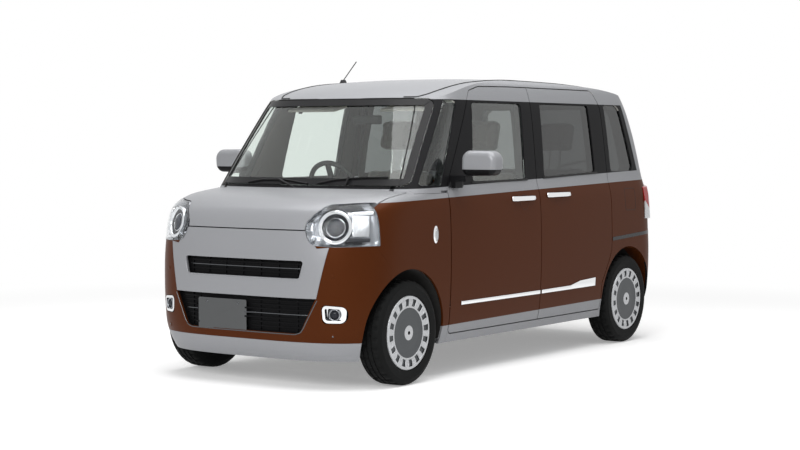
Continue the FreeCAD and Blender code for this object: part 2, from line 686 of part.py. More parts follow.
# Floor, bulkhead and wheel arches
BULKHEAD_BACK = -1010
inside = cab_slab(-60, WALL + 26)
outside = [inside, mirrored(inside)]
FLOOR = size("floor_height")
FLOOR_TOP = FLOOR + size("floor_thickness")
floor_profile = [(-1010, FLOOR), (-1010, FLOOR_TOP), (880, FLOOR_TOP), (960, 460), (1610, 460), (1610, 420),
                 (1000, 420), (940, FLOOR)]
floor = prism(floor_profile, "x", -640, 640)
for solid in outside:
    floor = floor.cut(solid)
drums = Part.makeCompound([arch_drum(FRONT_AXLE, FRONT_LINER_X), arch_drum(REAR_AXLE, REAR_LINER_X)])
floor = floor.cut(drums).cut(mirrored(drums))
add_shape("floor_pan", floor)


def arch_liner(axle, inner, outer):
    """Half drum over a wheel, open below."""
    radius = size("arch_radius")
    shell = cylinder(radius + LINER, outer - inner, (inner, axle, WHEEL_CENTRE + 6), (1, 0, 0))
    shell = shell.cut(cylinder(radius, outer - inner, (inner, axle, WHEEL_CENTRE + 6), (1, 0, 0)))
    shell = shell.common(box((inner, axle - 400, WHEEL_CENTRE - 60), (outer, axle + 400, 900)))
    return shell


rear_liner = arch_liner(REAR_AXLE, REAR_LINER_X, REAR_LINER_END)
rear_wall = cylinder(size("arch_radius") + LINER, LINER, (REAR_LINER_X, REAR_AXLE, WHEEL_CENTRE + 6), (1, 0, 0))
rear_wall = rear_wall.common(box((500, REAR_AXLE - 400, 420), (560, REAR_AXLE + 400, 900)))
strut_slot = box((400, FRONT_AXLE - 64, 540), (573, FRONT_AXLE + 64, 700))
front_liner = arch_liner(FRONT_AXLE, FRONT_LINER_X, 715).cut(strut_slot)
lower_nose = [nose_row(z, both=False) for z in NOSE_HEIGHTS[:14]]
nose_shadow = solid_between([[p + Vector(400, -400, 0) for p in row] for row in lower_nose],
                            offset_grid(lower_nose, SKIN + 2))
front_wall = cylinder(size("arch_radius") + LINER, LINER, (FRONT_LINER_X, FRONT_AXLE, WHEEL_CENTRE + 6), (1, 0, 0))
front_wall = front_wall.common(box((400, BULKHEAD_BACK, WHEEL_CENTRE - 60), (560, FRONT_AXLE + 400, 900)))
front_liner = front_liner.cut(nose_shadow).fuse(front_wall)
add_shape("wheel_arches", Part.makeCompound([rear_liner.fuse(rear_wall), mirrored(rear_liner.fuse(rear_wall)),
                                             front_liner, mirrored(front_liner)]))
bulkhead = box((-600, BULKHEAD_BACK - 20, 270), (600, BULKHEAD_BACK, COWL_LOW))
wing = box((600, BULKHEAD_BACK - 20, 270), (640, DOOR_FRONT_POST, COWL_LOW))
bulkhead = joined([bulkhead, wing, mirrored(wing)])
bulkhead = bulkhead.cut(drums).cut(mirrored(drums))
add_shape("bulkhead", bulkhead)

dash_profile = [(-1009, 820), (-1009, 1000), (-940, 1018, 30), (-760, 985, 50), (-690, 900, 40), (-720, 760, 40),
                (-880, 640, 40)]
dashboard = prism(dash_profile, "x", -600, 600)
flange_space = solid_between(flange_grid(WALL - 20), flange_grid(WALL + 26 + SEAT))
for solid in outside + [flange_space, mirrored(flange_space)]:
    dashboard = dashboard.cut(solid)
add_shape("dashboard", dashboard)


# Solids of the running gear, made as bodies whose sketches follow the sheet
def named(expression):
    """A formula on the sheet's cells, written with their plain names."""
    text = str(expression)
    for alias in ALIASES:
        text = re.sub(rf"\b{alias}\b", f"sizes.{alias}", text)
    return text


def value_of(expression):
    return float(sheet.evalExpression(named(expression).replace("sizes.", "")))


def base_plane(body, role):
    return [item for item in body.Origin.OriginFeatures if item.Role == role][0]


def new_body(label):
    body = doc.addObject("PartDesign::Body", label)
    body.Label = label
    NODES.append(body)
    return body


def profile_sketch(body, name, plane, points):
    """Closed outline whose corners are placed by formulas on the sheet."""
    sketch = body.newObject("Sketcher::SketchObject", name)
    sketch.AttachmentSupport = (base_plane(body, plane), [""])
    sketch.MapMode = "FlatFace"
    places = [(value_of(a), value_of(b)) for a, b in points]
    count = len(places)
    for i in range(count):
        start = Vector(*places[i], 0)
        end = Vector(*places[(i + 1) % count], 0)
        sketch.addGeometry(Part.LineSegment(start, end), False)
    for i in range(count):
        sketch.addConstraint(Sketcher.Constraint("Coincident", i, 2, (i + 1) % count, 1))
    for i, (formulas, place) in enumerate(zip(points, places)):
        for kind, formula, number in zip(("DistanceX", "DistanceY"), formulas, place):
            if abs(number) < 1e-9:
                on = -2 if kind == "DistanceX" else -1
                sketch.addConstraint(Sketcher.Constraint("PointOnObject", i, 1, on))
                continue
            index = sketch.addConstraint(Sketcher.Constraint(kind, -1, 1, i, 1, number))
            sketch.setExpression(f"Constraints[{index}]", named(formula))
    return sketch


def revolve(body, sketch, name, axis="H_Axis"):
    turned = body.newObject("PartDesign::Revolution", name)
    turned.Profile = sketch
    turned.ReferenceAxis = (sketch, [axis])
    turned.Angle = 360
    return turned


CAP_WINDOWS = 16
WINDOW_PLANE = 90
WINDOW_OUTLINE = [("cap_diameter / 2 - 36 - window_length / 2", "-window_width / 2"),
                  ("cap_diameter / 2 - 36 + window_length / 2", "-window_width / 2"),
                  ("cap_diameter / 2 - 36 + window_length / 2", "window_width / 2"),
                  ("cap_diameter / 2 - 36 - window_length / 2", "window_width / 2")]
CAP_BACK = 70
TYRE_SECTION = [("-60", "rim_diameter / 2"), ("60", "rim_diameter / 2"),
                ("tyre_width / 2", "rim_diameter / 2 + 44"), ("tyre_width / 2 - 4", "tyre_diameter / 2 - 20"),
                ("tyre_width / 2 - 20", "tyre_diameter / 2"), ("-tyre_width / 2 + 20", "tyre_diameter / 2"),
                ("-tyre_width / 2 + 4", "tyre_diameter / 2 - 20"), ("-tyre_width / 2", "rim_diameter / 2 + 44")]
RIM_SECTION = [("-70", "rim_diameter / 2 + 9"), ("-64", "rim_diameter / 2 + 9"), ("-64", "rim_diameter / 2"),
               ("64", "rim_diameter / 2"), ("64", "rim_diameter / 2 + 9"), ("70", "rim_diameter / 2 + 9"),
               ("70", "rim_diameter / 2 - 8"), ("28", "rim_diameter / 2 - 13"), ("28", "spindle_diameter / 2 + 0.05"),
               ("-20", "spindle_diameter / 2 + 0.05"), ("-20", "34"), ("20", "38"), ("20", "rim_diameter / 2 - 20"),
               ("-70", "rim_diameter / 2 - 8")]
CAP_SECTION = [("69", "rim_diameter / 2 - 46"), ("70", "rim_diameter / 2 - 40"), ("70", "cap_diameter / 2"),
               ("75", "cap_diameter / 2 - 5"), ("79", "cap_diameter / 2 - 30"), ("76", "cap_diameter / 2 - 60"),
               ("72", "cap_diameter / 2 - 74"), ("71", "46"), ("75", "41"), ("76", "30"), ("76", "0"), ("66", "0"),
               ("66", "rim_diameter / 2 - 62")]


def wheel_body(label):
    """Steel rim with its hub, and the cap with its ring of windows pressed on the face."""
    body = new_body(label)
    revolve(body, profile_sketch(body, label + "_rim_section", "XY_Plane", RIM_SECTION), label + "_rim")
    revolve(body, profile_sketch(body, label + "_cap_section", "XY_Plane", CAP_SECTION), label + "_cap")
    doc.recompute()
    window = profile_sketch(body, label + "_window_outline", "YZ_Plane", WINDOW_OUTLINE)
    window.AttachmentOffset = Placement(Vector(0, 0, WINDOW_PLANE), Rotation())
    pocket = body.newObject("PartDesign::Pocket", label + "_window")
    pocket.Profile = window
    pocket.Type = "Length"
    pocket.Length = WINDOW_PLANE - CAP_BACK
    pattern = body.newObject("PartDesign::PolarPattern", label + "_windows")
    pattern.Originals = [pocket]
    pattern.Axis = (base_plane(body, "X_Axis"), [""])
    pattern.Angle = 360
    pattern.Occurrences = CAP_WINDOWS
    body.Tip = pattern
    return body


tyre_places = {
    "front_left": (HALF_TRACK, FRONT_AXLE, 0), "front_right": (-HALF_TRACK, FRONT_AXLE, 180),
    "rear_left": (HALF_TRACK, REAR_AXLE, 0), "rear_right": (-HALF_TRACK, REAR_AXLE, 180)}
for corner, (x, y, turn) in tyre_places.items():
    stand = Placement(Vector(x, y, WHEEL_CENTRE), Rotation(Vector(0, 0, 1), turn))
    tyre = new_body(f"tyre_{corner}")
    revolve(tyre, profile_sketch(tyre, f"tyre_{corner}_section", "XY_Plane", TYRE_SECTION), f"tyre_{corner}_ring")
    tyre.Placement = stand
    wheel = wheel_body(f"wheel_{corner}")
    wheel.Placement = stand


def place_by(item, x, y, z):
    for axis, formula in zip("xyz", (x, y, z)):
        item.setExpression(f"Placement.Base.{axis}", named(formula))


def part_box(name, corner, extents):
    """Block from its low corner and its three sizes, all formulas on the sheet."""
    item = doc.addObject("Part::Box", name)
    for side, formula in zip(("Length", "Width", "Height"), extents):
        item.setExpression(side, named(formula))
    place_by(item, *corner)
    return item


def part_cylinder(name, radius, length, start, direction):
    item = doc.addObject("Part::Cylinder", name)
    item.setExpression("Radius", named(radius))
    item.setExpression("Height", named(length))
    item.Placement = Placement(Vector(), Rotation(Vector(0, 0, 1), Vector(*direction)))
    place_by(item, *start)
    return item


def fused(label, items):
    item = doc.addObject("Part::MultiFuse", label)
    item.Label = label
    item.Shapes = items
    NODES.append(item)
    return item


def plain(label, item):
    item.Label = label
    NODES.append(item)
    return item


def mirror_of(name, source):
    item = doc.addObject("Part::Mirroring", name)
    item.Source = source
    item.Normal = Vector(1, 0, 0)
    item.Base = Vector(0, 0, 0)
    return item


def rounded(name, base, radius, edges=None):
    """A block with its edges rounded: all of them, or those that a test picks."""
    doc.recompute()
    item = doc.addObject("Part::Fillet", name)
    item.Base = base
    chosen = [i + 1 for i, edge in enumerate(base.Shape.Edges) if edges is None or edges(edge)]
    item.Edges = [(i, radius, radius) for i in chosen]
    return item


# Axles: knuckles that carry the front wheels, and the rear beam.
# Each front knuckle turns on a stud whose line leans in towards the top of its strut.
BALL_X = 602
KING_LEAN = (-65, 0, 615)
STUD_DIP = 15
knuckle = fused("knuckle_left", [
    part_box("knuckle_upright", ("590", "front_axle_y - 50", "ball_height + 3.5"), ("38", "100", "196")),
    part_cylinder("knuckle_spindle", "spindle_diameter / 2", "70", ("600", "front_axle_y", "wheel_z"), (1, 0, 0)),
    part_box("knuckle_bracket", ("515", "front_axle_y - 22", "330"), ("80", "44", "50")),
    part_cylinder("knuckle_damper", "24", "330", ("537", "front_axle_y", "335"), (0, 0, 1)),
    part_cylinder("knuckle_rod", "10", "150", ("537", "front_axle_y", "650"), (0, 0, 1)),
    part_cylinder("knuckle_stud", "stud_diameter / 2", "40",
                  (f"{BALL_X} + {STUD_DIP} * 65 / 615", "front_axle_y", f"ball_height - {STUD_DIP}"), KING_LEAN),
    part_box("knuckle_arm", ("560", "front_axle_y + 20", "246"), ("34", "115", "16"))])
plain("knuckle_right", mirror_of("knuckle_right", knuckle))

arm_plan = [(320, FRONT_AXLE - 120), (320, FRONT_AXLE + 100), (400, FRONT_AXLE + 60),
            (BALL_X + 10, FRONT_AXLE + 24, 20), (BALL_X + 23, FRONT_AXLE, 10), (BALL_X + 10, FRONT_AXLE - 24, 20),
            (400, FRONT_AXLE - 70)]
BALL_HEIGHT = size("ball_height")
lower_arm = prism(arm_plan, "z", BALL_HEIGHT - 20, BALL_HEIGHT)
stud_foot = Vector(BALL_X, FRONT_AXLE, BALL_HEIGHT) - Vector(*KING_LEAN) * (60 / KING_LEAN[2])
lower_arm = lower_arm.cut(cylinder(size("stud_diameter") / 2 + SEAT, 120, stud_foot, KING_LEAN))
subframe = box((-340, FRONT_AXLE - 110, 172), (340, FRONT_AXLE + 90, 232))
subframe = subframe.cut(box((-245, FRONT_AXLE - 200, 100), (-175, FRONT_AXLE + 200, 216)))
subframe = subframe.cut(box((-245, FRONT_AXLE - 55, 100), (-175, FRONT_AXLE + 15, 300)))
rack = cylinder(22, 560, (-280, FRONT_AXLE + 120, 254), (1, 0, 0))
rack_mount = box((-170, FRONT_AXLE + 80, 200), (200, FRONT_AXLE + 104, 256))
front_suspension = joined([subframe, lower_arm, mirrored(lower_arm), rack, rack_mount])
add_shape("front_suspension", front_suspension)

strut_top = box((460, FRONT_AXLE - 75, 806), (600, FRONT_AXLE + 75, 830))
apron = box((446, NOSE + 170, 486), (460, -1030, 830))
rail = box((335, NOSE + 96, 400), (405, -1030, 500)).fuse(box((400, NOSE + 170, 486), (460, -1030, 500)))
tower = joined([apron, rail, strut_top]).cut(arch_drum(FRONT_AXLE, FRONT_LINER_X))
beam_plan = [(-560, NOSE + 140), (-400, NOSE + 72), (400, NOSE + 72), (560, NOSE + 140), (560, NOSE + 180),
             (400, NOSE + 112), (-400, NOSE + 112), (-560, NOSE + 180)]
beam = prism(beam_plan, "z", 400, 500)
struts = [box((x - 15, NOSE + 112, 232), (x + 15, NOSE + 132, 760)) for x in (-310, 310)]
cross = box((-325, NOSE + 112, 740), (325, NOSE + 140, 790))
front_structure = joined([tower, mirrored(tower), beam, cross] + struts)
add_shape("front_structure", front_structure)
radiator = part_box("radiator", ("-290", f"{NOSE + 133}", "250"), ("580", "40", "400"))
plain("radiator", radiator)
engine = part_box("engine_block", ("-engine_width / 2 - 40", "front_axle_y - 322", "232"),
                  ("engine_width", "engine_length", "engine_height"))
plain("engine_block", engine)

beam_box = box((-500, REAR_AXLE - 120, 225), (500, REAR_AXLE - 50, 275))
trail = prism([(REAR_AXLE - 350, 228, 12), (REAR_AXLE - 350, 262, 12), (REAR_AXLE + 40, 310, 15),
               (REAR_AXLE + 40, 240, 15), (REAR_AXLE - 100, 225)], "x", 470, 515)
hub_plate = box((505, REAR_AXLE - 45, 235), (628, REAR_AXLE + 45, 322))
spindle = cylinder(size("spindle_diameter") / 2, 60, (610, REAR_AXLE, WHEEL_CENTRE), (1, 0, 0))
spring_seat = box((400, REAR_AXLE - 170, 240), (480, REAR_AXLE - 60, 262))
spring = cylinder(45, 160, (435, REAR_AXLE - 112, 260), (0, 0, 1))
damper = cylinder(22, 120, (492, REAR_AXLE + 15, 300), (0, 0, 1))
pivot = box((462, REAR_AXLE - 360, 222), (524, REAR_AXLE - 335, FLOOR))
rear_side = joined([trail, hub_plate, spindle, spring_seat, spring, damper, pivot])
add_shape("rear_axle_beam", joined([beam_box, rear_side, mirrored(rear_side)]))
tank = rounded("fuel_tank_round", part_box("fuel_tank_block", ("-300", "320", "floor_height - 95"),
                                           ("600", "470", "95")), 20,
               lambda edge: edge.BoundBox.ZLength > 50)
plain("fuel_tank", tank)


def bent_wire(points, bend):
    """Straight runs joined by tangent arcs of one radius."""
    edges = []
    start = Vector(*points[0])
    for here, onward in zip(points[1:], points[2:]):
        corner = Vector(*here)
        back = start - corner
        ahead = Vector(*onward) - corner
        half_turn = back.getAngle(ahead) / 2
        reach = bend / math.tan(half_turn)
        back.normalize()
        ahead.normalize()
        middle = back + ahead
        middle.normalize()
        entry = corner + back * reach
        leave = corner + ahead * reach
        tip = corner + middle * (bend / math.sin(half_turn) - bend)
        edges.append(Part.LineSegment(start, entry).toShape())
        edges.append(Part.Arc(entry, tip, leave).toShape())
        start = leave
    edges.append(Part.LineSegment(start, Vector(*points[-1])).toShape())
    return Part.Wire(edges)


def tube(points, radius, bend):
    wire = bent_wire(points, bend)
    run = Vector(*points[1]) - Vector(*points[0])
    section = Part.Wire(Part.makeCircle(radius, Vector(*points[0]), run))
    return wire.makePipeShell([section], True, True)


pipe_points = [(-210, FRONT_AXLE - 20, 232), (-210, FRONT_AXLE - 20, 188), (-210, -1000, 188), (-210, -820, 215),
               (-210, 60, 215), (-392, 330, 215), (-392, 880, 215), (-330, 1100, 322), (-330, 1415, 335)]
pipe = tube(pipe_points, 20, 24)
silencer = prism([(-420, 1400, 30), (-420, 1560, 30), (-60, 1560, 30), (-60, 1400, 30)], "z", 275, 400)
hangers = [box((x - 8, 1470, 395), (x + 8, 1490, 420)) for x in (-340, -140)]
front_hanger = box((-218, -40, 225), (-202, -20, FLOOR))
add_shape("exhaust", joined([pipe, silencer, front_hanger] + hangers))


# Cabin
def cushion_block(outline, x, width, edge):
    """Upholstered block: a rounded side outline across the seat's width, its sides rounded over."""
    block = prism(outline, "x", x - width / 2, x + width / 2)
    ends = [e for e in block.Edges if e.BoundBox.XLength < 1e-6]
    return block.makeFillet(edge, ends)


def seat(x, width, cushion_y, back_y, height):
    """Cushion and leaning back on a floor frame."""
    floor_top = size("floor_height") + size("floor_thickness")
    frame = box((x - width / 2 + 50, cushion_y + 40, floor_top), (x + width / 2 - 50, back_y - 70, height - 130))
    cushion = cushion_block([(cushion_y, height - 140, 40), (cushion_y - 5, height + 5, 60), (back_y + 60, height - 20, 30),
                             (back_y + 100, height - 150, 40)], x, width, 25)
    lean = math.tan(math.radians(14))
    top = height + 515
    back = cushion_block([(back_y, height - 110, 45), (back_y + lean * 620, top, 50),
                          (back_y + lean * 620 + 90, top + 10, 40), (back_y + 125, height - 120, 45)], x, width, 25)
    return [frame, cushion, back]


def headrest(x, y, z):
    pad = cushion_block([(y, z, 30), (y + 12, z + 190, 35), (y + 85, z + 185, 35), (y + 95, z + 10, 30)], x, 250, 28)
    posts = [cylinder(6, 170, (x + side * 60, y + 42, z - 140), (0, 0, 1)) for side in (-1, 1)]
    return [pad] + posts


front_seat = joined(seat(300, size("seat_width"), -420, 20, size("seat_height"))
                    + headrest(300, 140, size("seat_height") + 612))
add_shape("front_seats", both_sides(front_seat))
rear_parts = seat(0, 1080, 560, 930, 620)
for x in (300, -300):
    rear_parts += headrest(x, 1048, 1215)
add_shape("rear_seat", joined(rear_parts))

TILT = math.radians(25)
STEER_CENTRE = Vector(-300, -474, 1005)
steer_axis = Vector(0, math.cos(TILT), math.sin(TILT))
radius = size("steering_wheel_diameter") / 2
wheel_ring = Part.makeTorus(radius - 15, 15, STEER_CENTRE, steer_axis)
hub = Part.makeCylinder(62, 46, STEER_CENTRE - steer_axis * 40, steer_axis)
spokes = []
for turn in (0, 180, 270):
    spoke = Part.makeBox(radius - 20, 34, 12, Vector(0, -17, -8))
    spoke.rotate(Vector(0, 0, 0), Vector(0, 0, 1), turn)
    spoke.rotate(Vector(0, 0, 0), Vector(1, 0, 0), -(90 - 25))
    spoke.translate(STEER_CENTRE)
    spokes.append(spoke)
add_shape("steering_wheel", joined([wheel_ring, hub] + spokes))
column = Part.makeCylinder(40, 260, STEER_CENTRE - steer_axis * 301, steer_axis)
add_shape("steering_column", column.cut(dashboard))

# Outside fittings
cowl_plan = [(-640, -1190, 40), (-420, -1262), (0, -1300), (420, -1262), (640, -1190, 40), (655, -1060, 30),
             (300, -1150), (0, -1172), (-300, -1150), (-655, -1060, 30)]
cowl_tray = prism(cowl_plan, "z", COWL_LOW, COWL_HIGH)
cowl_back = cab_slab(34, 60, [930, 975, BELT - 32])
cowl_back = cowl_back.common(box((-5, -1400, COWL_LOW), (700, -1040, BELT - 32)))
cowl_back = cowl_back.cut(box((ARM_LOW - 10, -1135, COWL_HIGH), (ARM_HIGH + 0.5, -1070, BELT)))
bonnet_post = box((ARM_HIGH + 1, BONNET_PIN.y - 8, COWL_LOW), (BONNET_PIN.x, BONNET_PIN.y + 8, BONNET_PIN.z))
bonnet_post = joined([bonnet_post, cylinder(8, 7, (ARM_HIGH + 1, BONNET_PIN.y, BONNET_PIN.z), (1, 0, 0)),
                      cylinder(PIN, 22, (ARM_LOW - 2, BONNET_PIN.y, BONNET_PIN.z), (1, 0, 0))])
cowl = joined([cowl_tray, cowl_back, mirrored(cowl_back), bonnet_post, mirrored(bonnet_post)])
add_shape("cowl", cowl)
under_lip = slab(nose_grid, SKIN + 1, SKIN + 30).common(box((-620, -1800, 150), (620, -1540, 245)))
add_shape("front_under_tray", under_lip)

mirror_head = prism([(762, 1096, 45), (768, 1235, 50), (988, 1232, 55), (980, 1100, 50)], "y", -762, -655)
mirror_ends = [e for e in mirror_head.Edges if e.BoundBox.YLength < 1e-6]
mirror_head = mirror_head.makeFillet(30, mirror_ends)
mirror_foot = box((690, -760, 1066), (800, -690, 1098))
mirror_foot = mirror_foot.fuse(box((690, -760, 1030), (735, -690, 1098))).cut(cab_slab(-2, 200))
for side, place in (("left", lambda s: s), ("right", mirrored)):
    add_shape(f"mirror_{side}", place(joined([mirror_head, mirror_foot])))

aerial_base = Part.makeCone(26, 14, 26, Vector(-500, -120, roof_height(-500, -120) - 4), Vector(0, 0, 1))
aerial_rod = Part.makeCylinder(3, 180, Vector(-500, -120, roof_height(-500, -120) + 18), Vector(0, 0.75, 0.66))
aerial = aerial_base.fuse(aerial_rod).cut(roof)
add_shape("aerial", aerial)

doc.recompute()
os.makedirs("parts", exist_ok=True)
for node in NODES:
    shape = node.Shape
    bad = [word for word in ("Invalid", "Error") if word in node.State]
    if bad or shape.isNull() or not shape.isValid() or not shape.Solids:
        raise RuntimeError(f"{node.Label} failed: {bad} {shape.isNull()}")
    shape.exportStep(f"parts/{node.Label}.step")
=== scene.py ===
import json
import math
import bmesh
import bpy
from mathutils import Matrix, Vector

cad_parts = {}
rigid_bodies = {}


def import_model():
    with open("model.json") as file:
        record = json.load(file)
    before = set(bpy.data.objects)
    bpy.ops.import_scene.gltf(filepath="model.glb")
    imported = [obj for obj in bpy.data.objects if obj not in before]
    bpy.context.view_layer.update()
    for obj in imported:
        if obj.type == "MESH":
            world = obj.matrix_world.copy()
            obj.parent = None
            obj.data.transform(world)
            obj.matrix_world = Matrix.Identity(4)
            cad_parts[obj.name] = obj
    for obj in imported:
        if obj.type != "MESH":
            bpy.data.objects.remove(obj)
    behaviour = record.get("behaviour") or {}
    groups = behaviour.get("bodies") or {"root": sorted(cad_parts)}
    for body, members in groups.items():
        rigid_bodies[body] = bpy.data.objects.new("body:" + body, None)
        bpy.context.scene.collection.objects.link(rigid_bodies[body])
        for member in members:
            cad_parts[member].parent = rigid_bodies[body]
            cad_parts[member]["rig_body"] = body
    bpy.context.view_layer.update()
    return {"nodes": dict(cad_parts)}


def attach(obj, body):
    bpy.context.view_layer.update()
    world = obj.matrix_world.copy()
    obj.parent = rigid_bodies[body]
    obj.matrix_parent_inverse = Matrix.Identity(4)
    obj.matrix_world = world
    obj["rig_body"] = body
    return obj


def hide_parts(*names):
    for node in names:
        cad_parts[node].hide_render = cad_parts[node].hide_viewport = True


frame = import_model()
nodes = frame["nodes"]

# Studio: a pale seamless floor under soft overhead light, seen at the photograph's angle.
# The camera stands low off the car's front left corner with a long lens, about head height.
scene = bpy.context.scene
scene.view_settings.view_transform = "Standard"
CAMERA_PLACE = Vector((5.917, -8.754, 1.293))
CAMERA_AZIMUTH = math.radians(34.77)
CAMERA_DOWN = math.radians(2.79)
CAMERA_ROLL = math.radians(-0.09)
bpy.ops.object.camera_add(location=CAMERA_PLACE)
camera = bpy.context.object
camera.data.sensor_width = 36
camera.data.lens = 78.9
camera.data.clip_end = 100
camera.rotation_euler = (math.pi / 2 - CAMERA_DOWN, CAMERA_ROLL, CAMERA_AZIMUTH)
scene.camera = camera


def deselect():
    bpy.ops.object.select_all(action="DESELECT")


def pick(piece):
    """Make one object the only selected and active one."""
    deselect()
    piece.select_set(True)
    bpy.context.view_layer.objects.active = piece


def new_material(name):
    """Empty node material with its tree and output."""
    material = bpy.data.materials.new(name)
    material.use_nodes = True
    tree = material.node_tree
    tree.nodes.clear()
    output = tree.nodes.new("ShaderNodeOutputMaterial")
    return material, tree, output


# Floor of the studio: matt white where light falls on it, and plain white further out.
# It keeps the soft shadow under the car and beside its tyres.
floor_material, tree, output = new_material("studio_floor")
place = tree.nodes.new("ShaderNodeTexCoord")
spread = tree.nodes.new("ShaderNodeVectorMath")
spread.operation = "LENGTH"
edge = tree.nodes.new("ShaderNodeMapRange")
edge.interpolation_type = "SMOOTHSTEP"
edge.inputs["From Min"].default_value = 3.2
edge.inputs["From Max"].default_value = 6.0
paths = tree.nodes.new("ShaderNodeLightPath")
seen = tree.nodes.new("ShaderNodeMath")
seen.operation = "MAXIMUM"
seen_too = tree.nodes.new("ShaderNodeMath")
seen_too.operation = "MAXIMUM"
lift = tree.nodes.new("ShaderNodeMath")
lift.operation = "MULTIPLY"
lift.inputs[1].default_value = 0.30
matt = tree.nodes.new("ShaderNodeBsdfDiffuse")
matt.inputs["Color"].default_value = (0.88, 0.88, 0.88, 1)
glow = tree.nodes.new("ShaderNodeEmission")
both = tree.nodes.new("ShaderNodeAddShader")
far_white = tree.nodes.new("ShaderNodeEmission")
far_strength = tree.nodes.new("ShaderNodeMapRange")
far_strength.inputs["To Min"].default_value = 0.30
far_strength.inputs["To Max"].default_value = 1.0
blend_out = tree.nodes.new("ShaderNodeMixShader")
tree.links.new(place.outputs["Object"], spread.inputs[0])
tree.links.new(spread.outputs["Value"], edge.inputs["Value"])
tree.links.new(paths.outputs["Is Camera Ray"], seen.inputs[0])
tree.links.new(paths.outputs["Is Glossy Ray"], seen.inputs[1])
tree.links.new(seen.outputs[0], seen_too.inputs[0])
tree.links.new(paths.outputs["Is Transmission Ray"], seen_too.inputs[1])
tree.links.new(seen_too.outputs[0], lift.inputs[0])
tree.links.new(lift.outputs[0], glow.inputs["Strength"])
tree.links.new(matt.outputs[0], both.inputs[0])
tree.links.new(glow.outputs[0], both.inputs[1])
tree.links.new(edge.outputs["Result"], blend_out.inputs["Fac"])
tree.links.new(both.outputs[0], blend_out.inputs[1])
tree.links.new(seen_too.outputs[0], far_strength.inputs["Value"])
tree.links.new(far_strength.outputs["Result"], far_white.inputs["Strength"])
tree.links.new(far_white.outputs[0], blend_out.inputs[2])
tree.links.new(blend_out.outputs[0], output.inputs["Surface"])
deselect()
bpy.ops.mesh.primitive_circle_add(vertices=96, radius=14, fill_type="NGON", location=(0, 0, 0))
floor = bpy.context.object
floor.name = "studio_floor"
floor.data.materials.append(floor_material)

# Light: one wide soft box over the car, a weaker one towards its front, and an even pale surround.
# The surround is plain white to the eye, to gloss and through glass, and dimmer as a light.
world = bpy.data.worlds.new("studio")
scene.world = world
world.use_nodes = True
tree = world.node_tree
tree.nodes.clear()
world_output = tree.nodes.new("ShaderNodeOutputWorld")
background = tree.nodes.new("ShaderNodeBackground")
paths = tree.nodes.new("ShaderNodeLightPath")
seen = tree.nodes.new("ShaderNodeMath")
seen.operation = "MAXIMUM"
seen_too = tree.nodes.new("ShaderNodeMath")
seen_too.operation = "MAXIMUM"
strength = tree.nodes.new("ShaderNodeMapRange")
strength.inputs["To Min"].default_value = 0.36
strength.inputs["To Max"].default_value = 1.0
tree.links.new(paths.outputs["Is Camera Ray"], seen.inputs[0])
tree.links.new(paths.outputs["Is Glossy Ray"], seen.inputs[1])
tree.links.new(seen.outputs[0], seen_too.inputs[0])
tree.links.new(paths.outputs["Is Transmission Ray"], seen_too.inputs[1])
background.inputs["Color"].default_value = (1, 1, 1, 1)
tree.links.new(seen_too.outputs[0], strength.inputs["Value"])
tree.links.new(strength.outputs["Result"], background.inputs["Strength"])
tree.links.new(background.outputs[0], world_output.inputs["Surface"])


def softbox(name, place, aim, width, length, power):
    """Rectangular lamp that faces the point it is aimed at."""
    bpy.ops.object.light_add(type="AREA", location=place)
    lamp = bpy.context.object
    lamp.name = name
    lamp.data.shape = "RECTANGLE"
    lamp.data.size = width
    lamp.data.size_y = length
    lamp.data.energy = power
    lamp.rotation_euler = (Vector(aim) - Vector(place)).to_track_quat("-Z", "Y").to_euler()
    return lamp


softbox("overhead_light", (0.6, -0.4, 5.2), (0, 0, 0), 5.0, 7.0, 300)
softbox("front_light", (1.5, -7.5, 3.6), (0, -1.2, 0.7), 4.0, 2.5, 230)


# Surface effects that many finishes share: moulded grain and faint unevenness of colour.
# Each finish places the group with its own scale, depth and tint.
def new_group(name, inputs, outputs):
    """Empty shader group with its sockets, and its entry and exit."""
    group = bpy.data.node_groups.new(name, "ShaderNodeTree")
    for title, kind, value in inputs:
        socket = group.interface.new_socket(title, in_out="INPUT", socket_type=kind)
        socket.default_value = value
    for title, kind in outputs:
        group.interface.new_socket(title, in_out="OUTPUT", socket_type=kind)
    return group, group.nodes.new("NodeGroupInput"), group.nodes.new("NodeGroupOutput")


FLOAT = "NodeSocketFloat"
COLOUR = "NodeSocketColor"
NORMAL = "NodeSocketVector"
grain_group, entry, leave = new_group(
    "surface_grain",
    [("Color", COLOUR, (0.5, 0.5, 0.5, 1)), ("Roughness", FLOAT, 0.4), ("Scale", FLOAT, 300),
     ("Depth", FLOAT, 0.1),
     ("Tint", FLOAT, 0.06)],
    [("Color", COLOUR), ("Roughness", FLOAT), ("Normal", NORMAL)])
made = grain_group.nodes.new
joins = grain_group.links.new
place = made("ShaderNodeTexCoord")
fine = made("ShaderNodeTexNoise")
fine.inputs["Detail"].default_value = 4
coarse = made("ShaderNodeTexNoise")
coarse.inputs["Scale"].default_value = 7
coarse.inputs["Detail"].default_value = 3
bump = made("ShaderNodeBump")
bump.inputs["Distance"].default_value = 0.0006
low = made("ShaderNodeMath")
low.operation = "SUBTRACT"
low.inputs[0].default_value = 1
high = made("ShaderNodeMath")
high.inputs[0].default_value = 1
swing = made("ShaderNodeMapRange")
shaded = made("ShaderNodeVectorMath")
shaded.operation = "SCALE"
dull = made("ShaderNodeMapRange")
dull.inputs["To Min"].default_value = -0.04
dull.inputs["To Max"].default_value = 0.06
rough = made("ShaderNodeMath")
rough.use_clamp = True
joins(place.outputs["Object"], fine.inputs["Vector"])
joins(place.outputs["Object"], coarse.inputs["Vector"])
joins(entry.outputs["Scale"], fine.inputs["Scale"])
joins(entry.outputs["Depth"], bump.inputs["Strength"])
joins(fine.outputs["Fac"], bump.inputs["Height"])
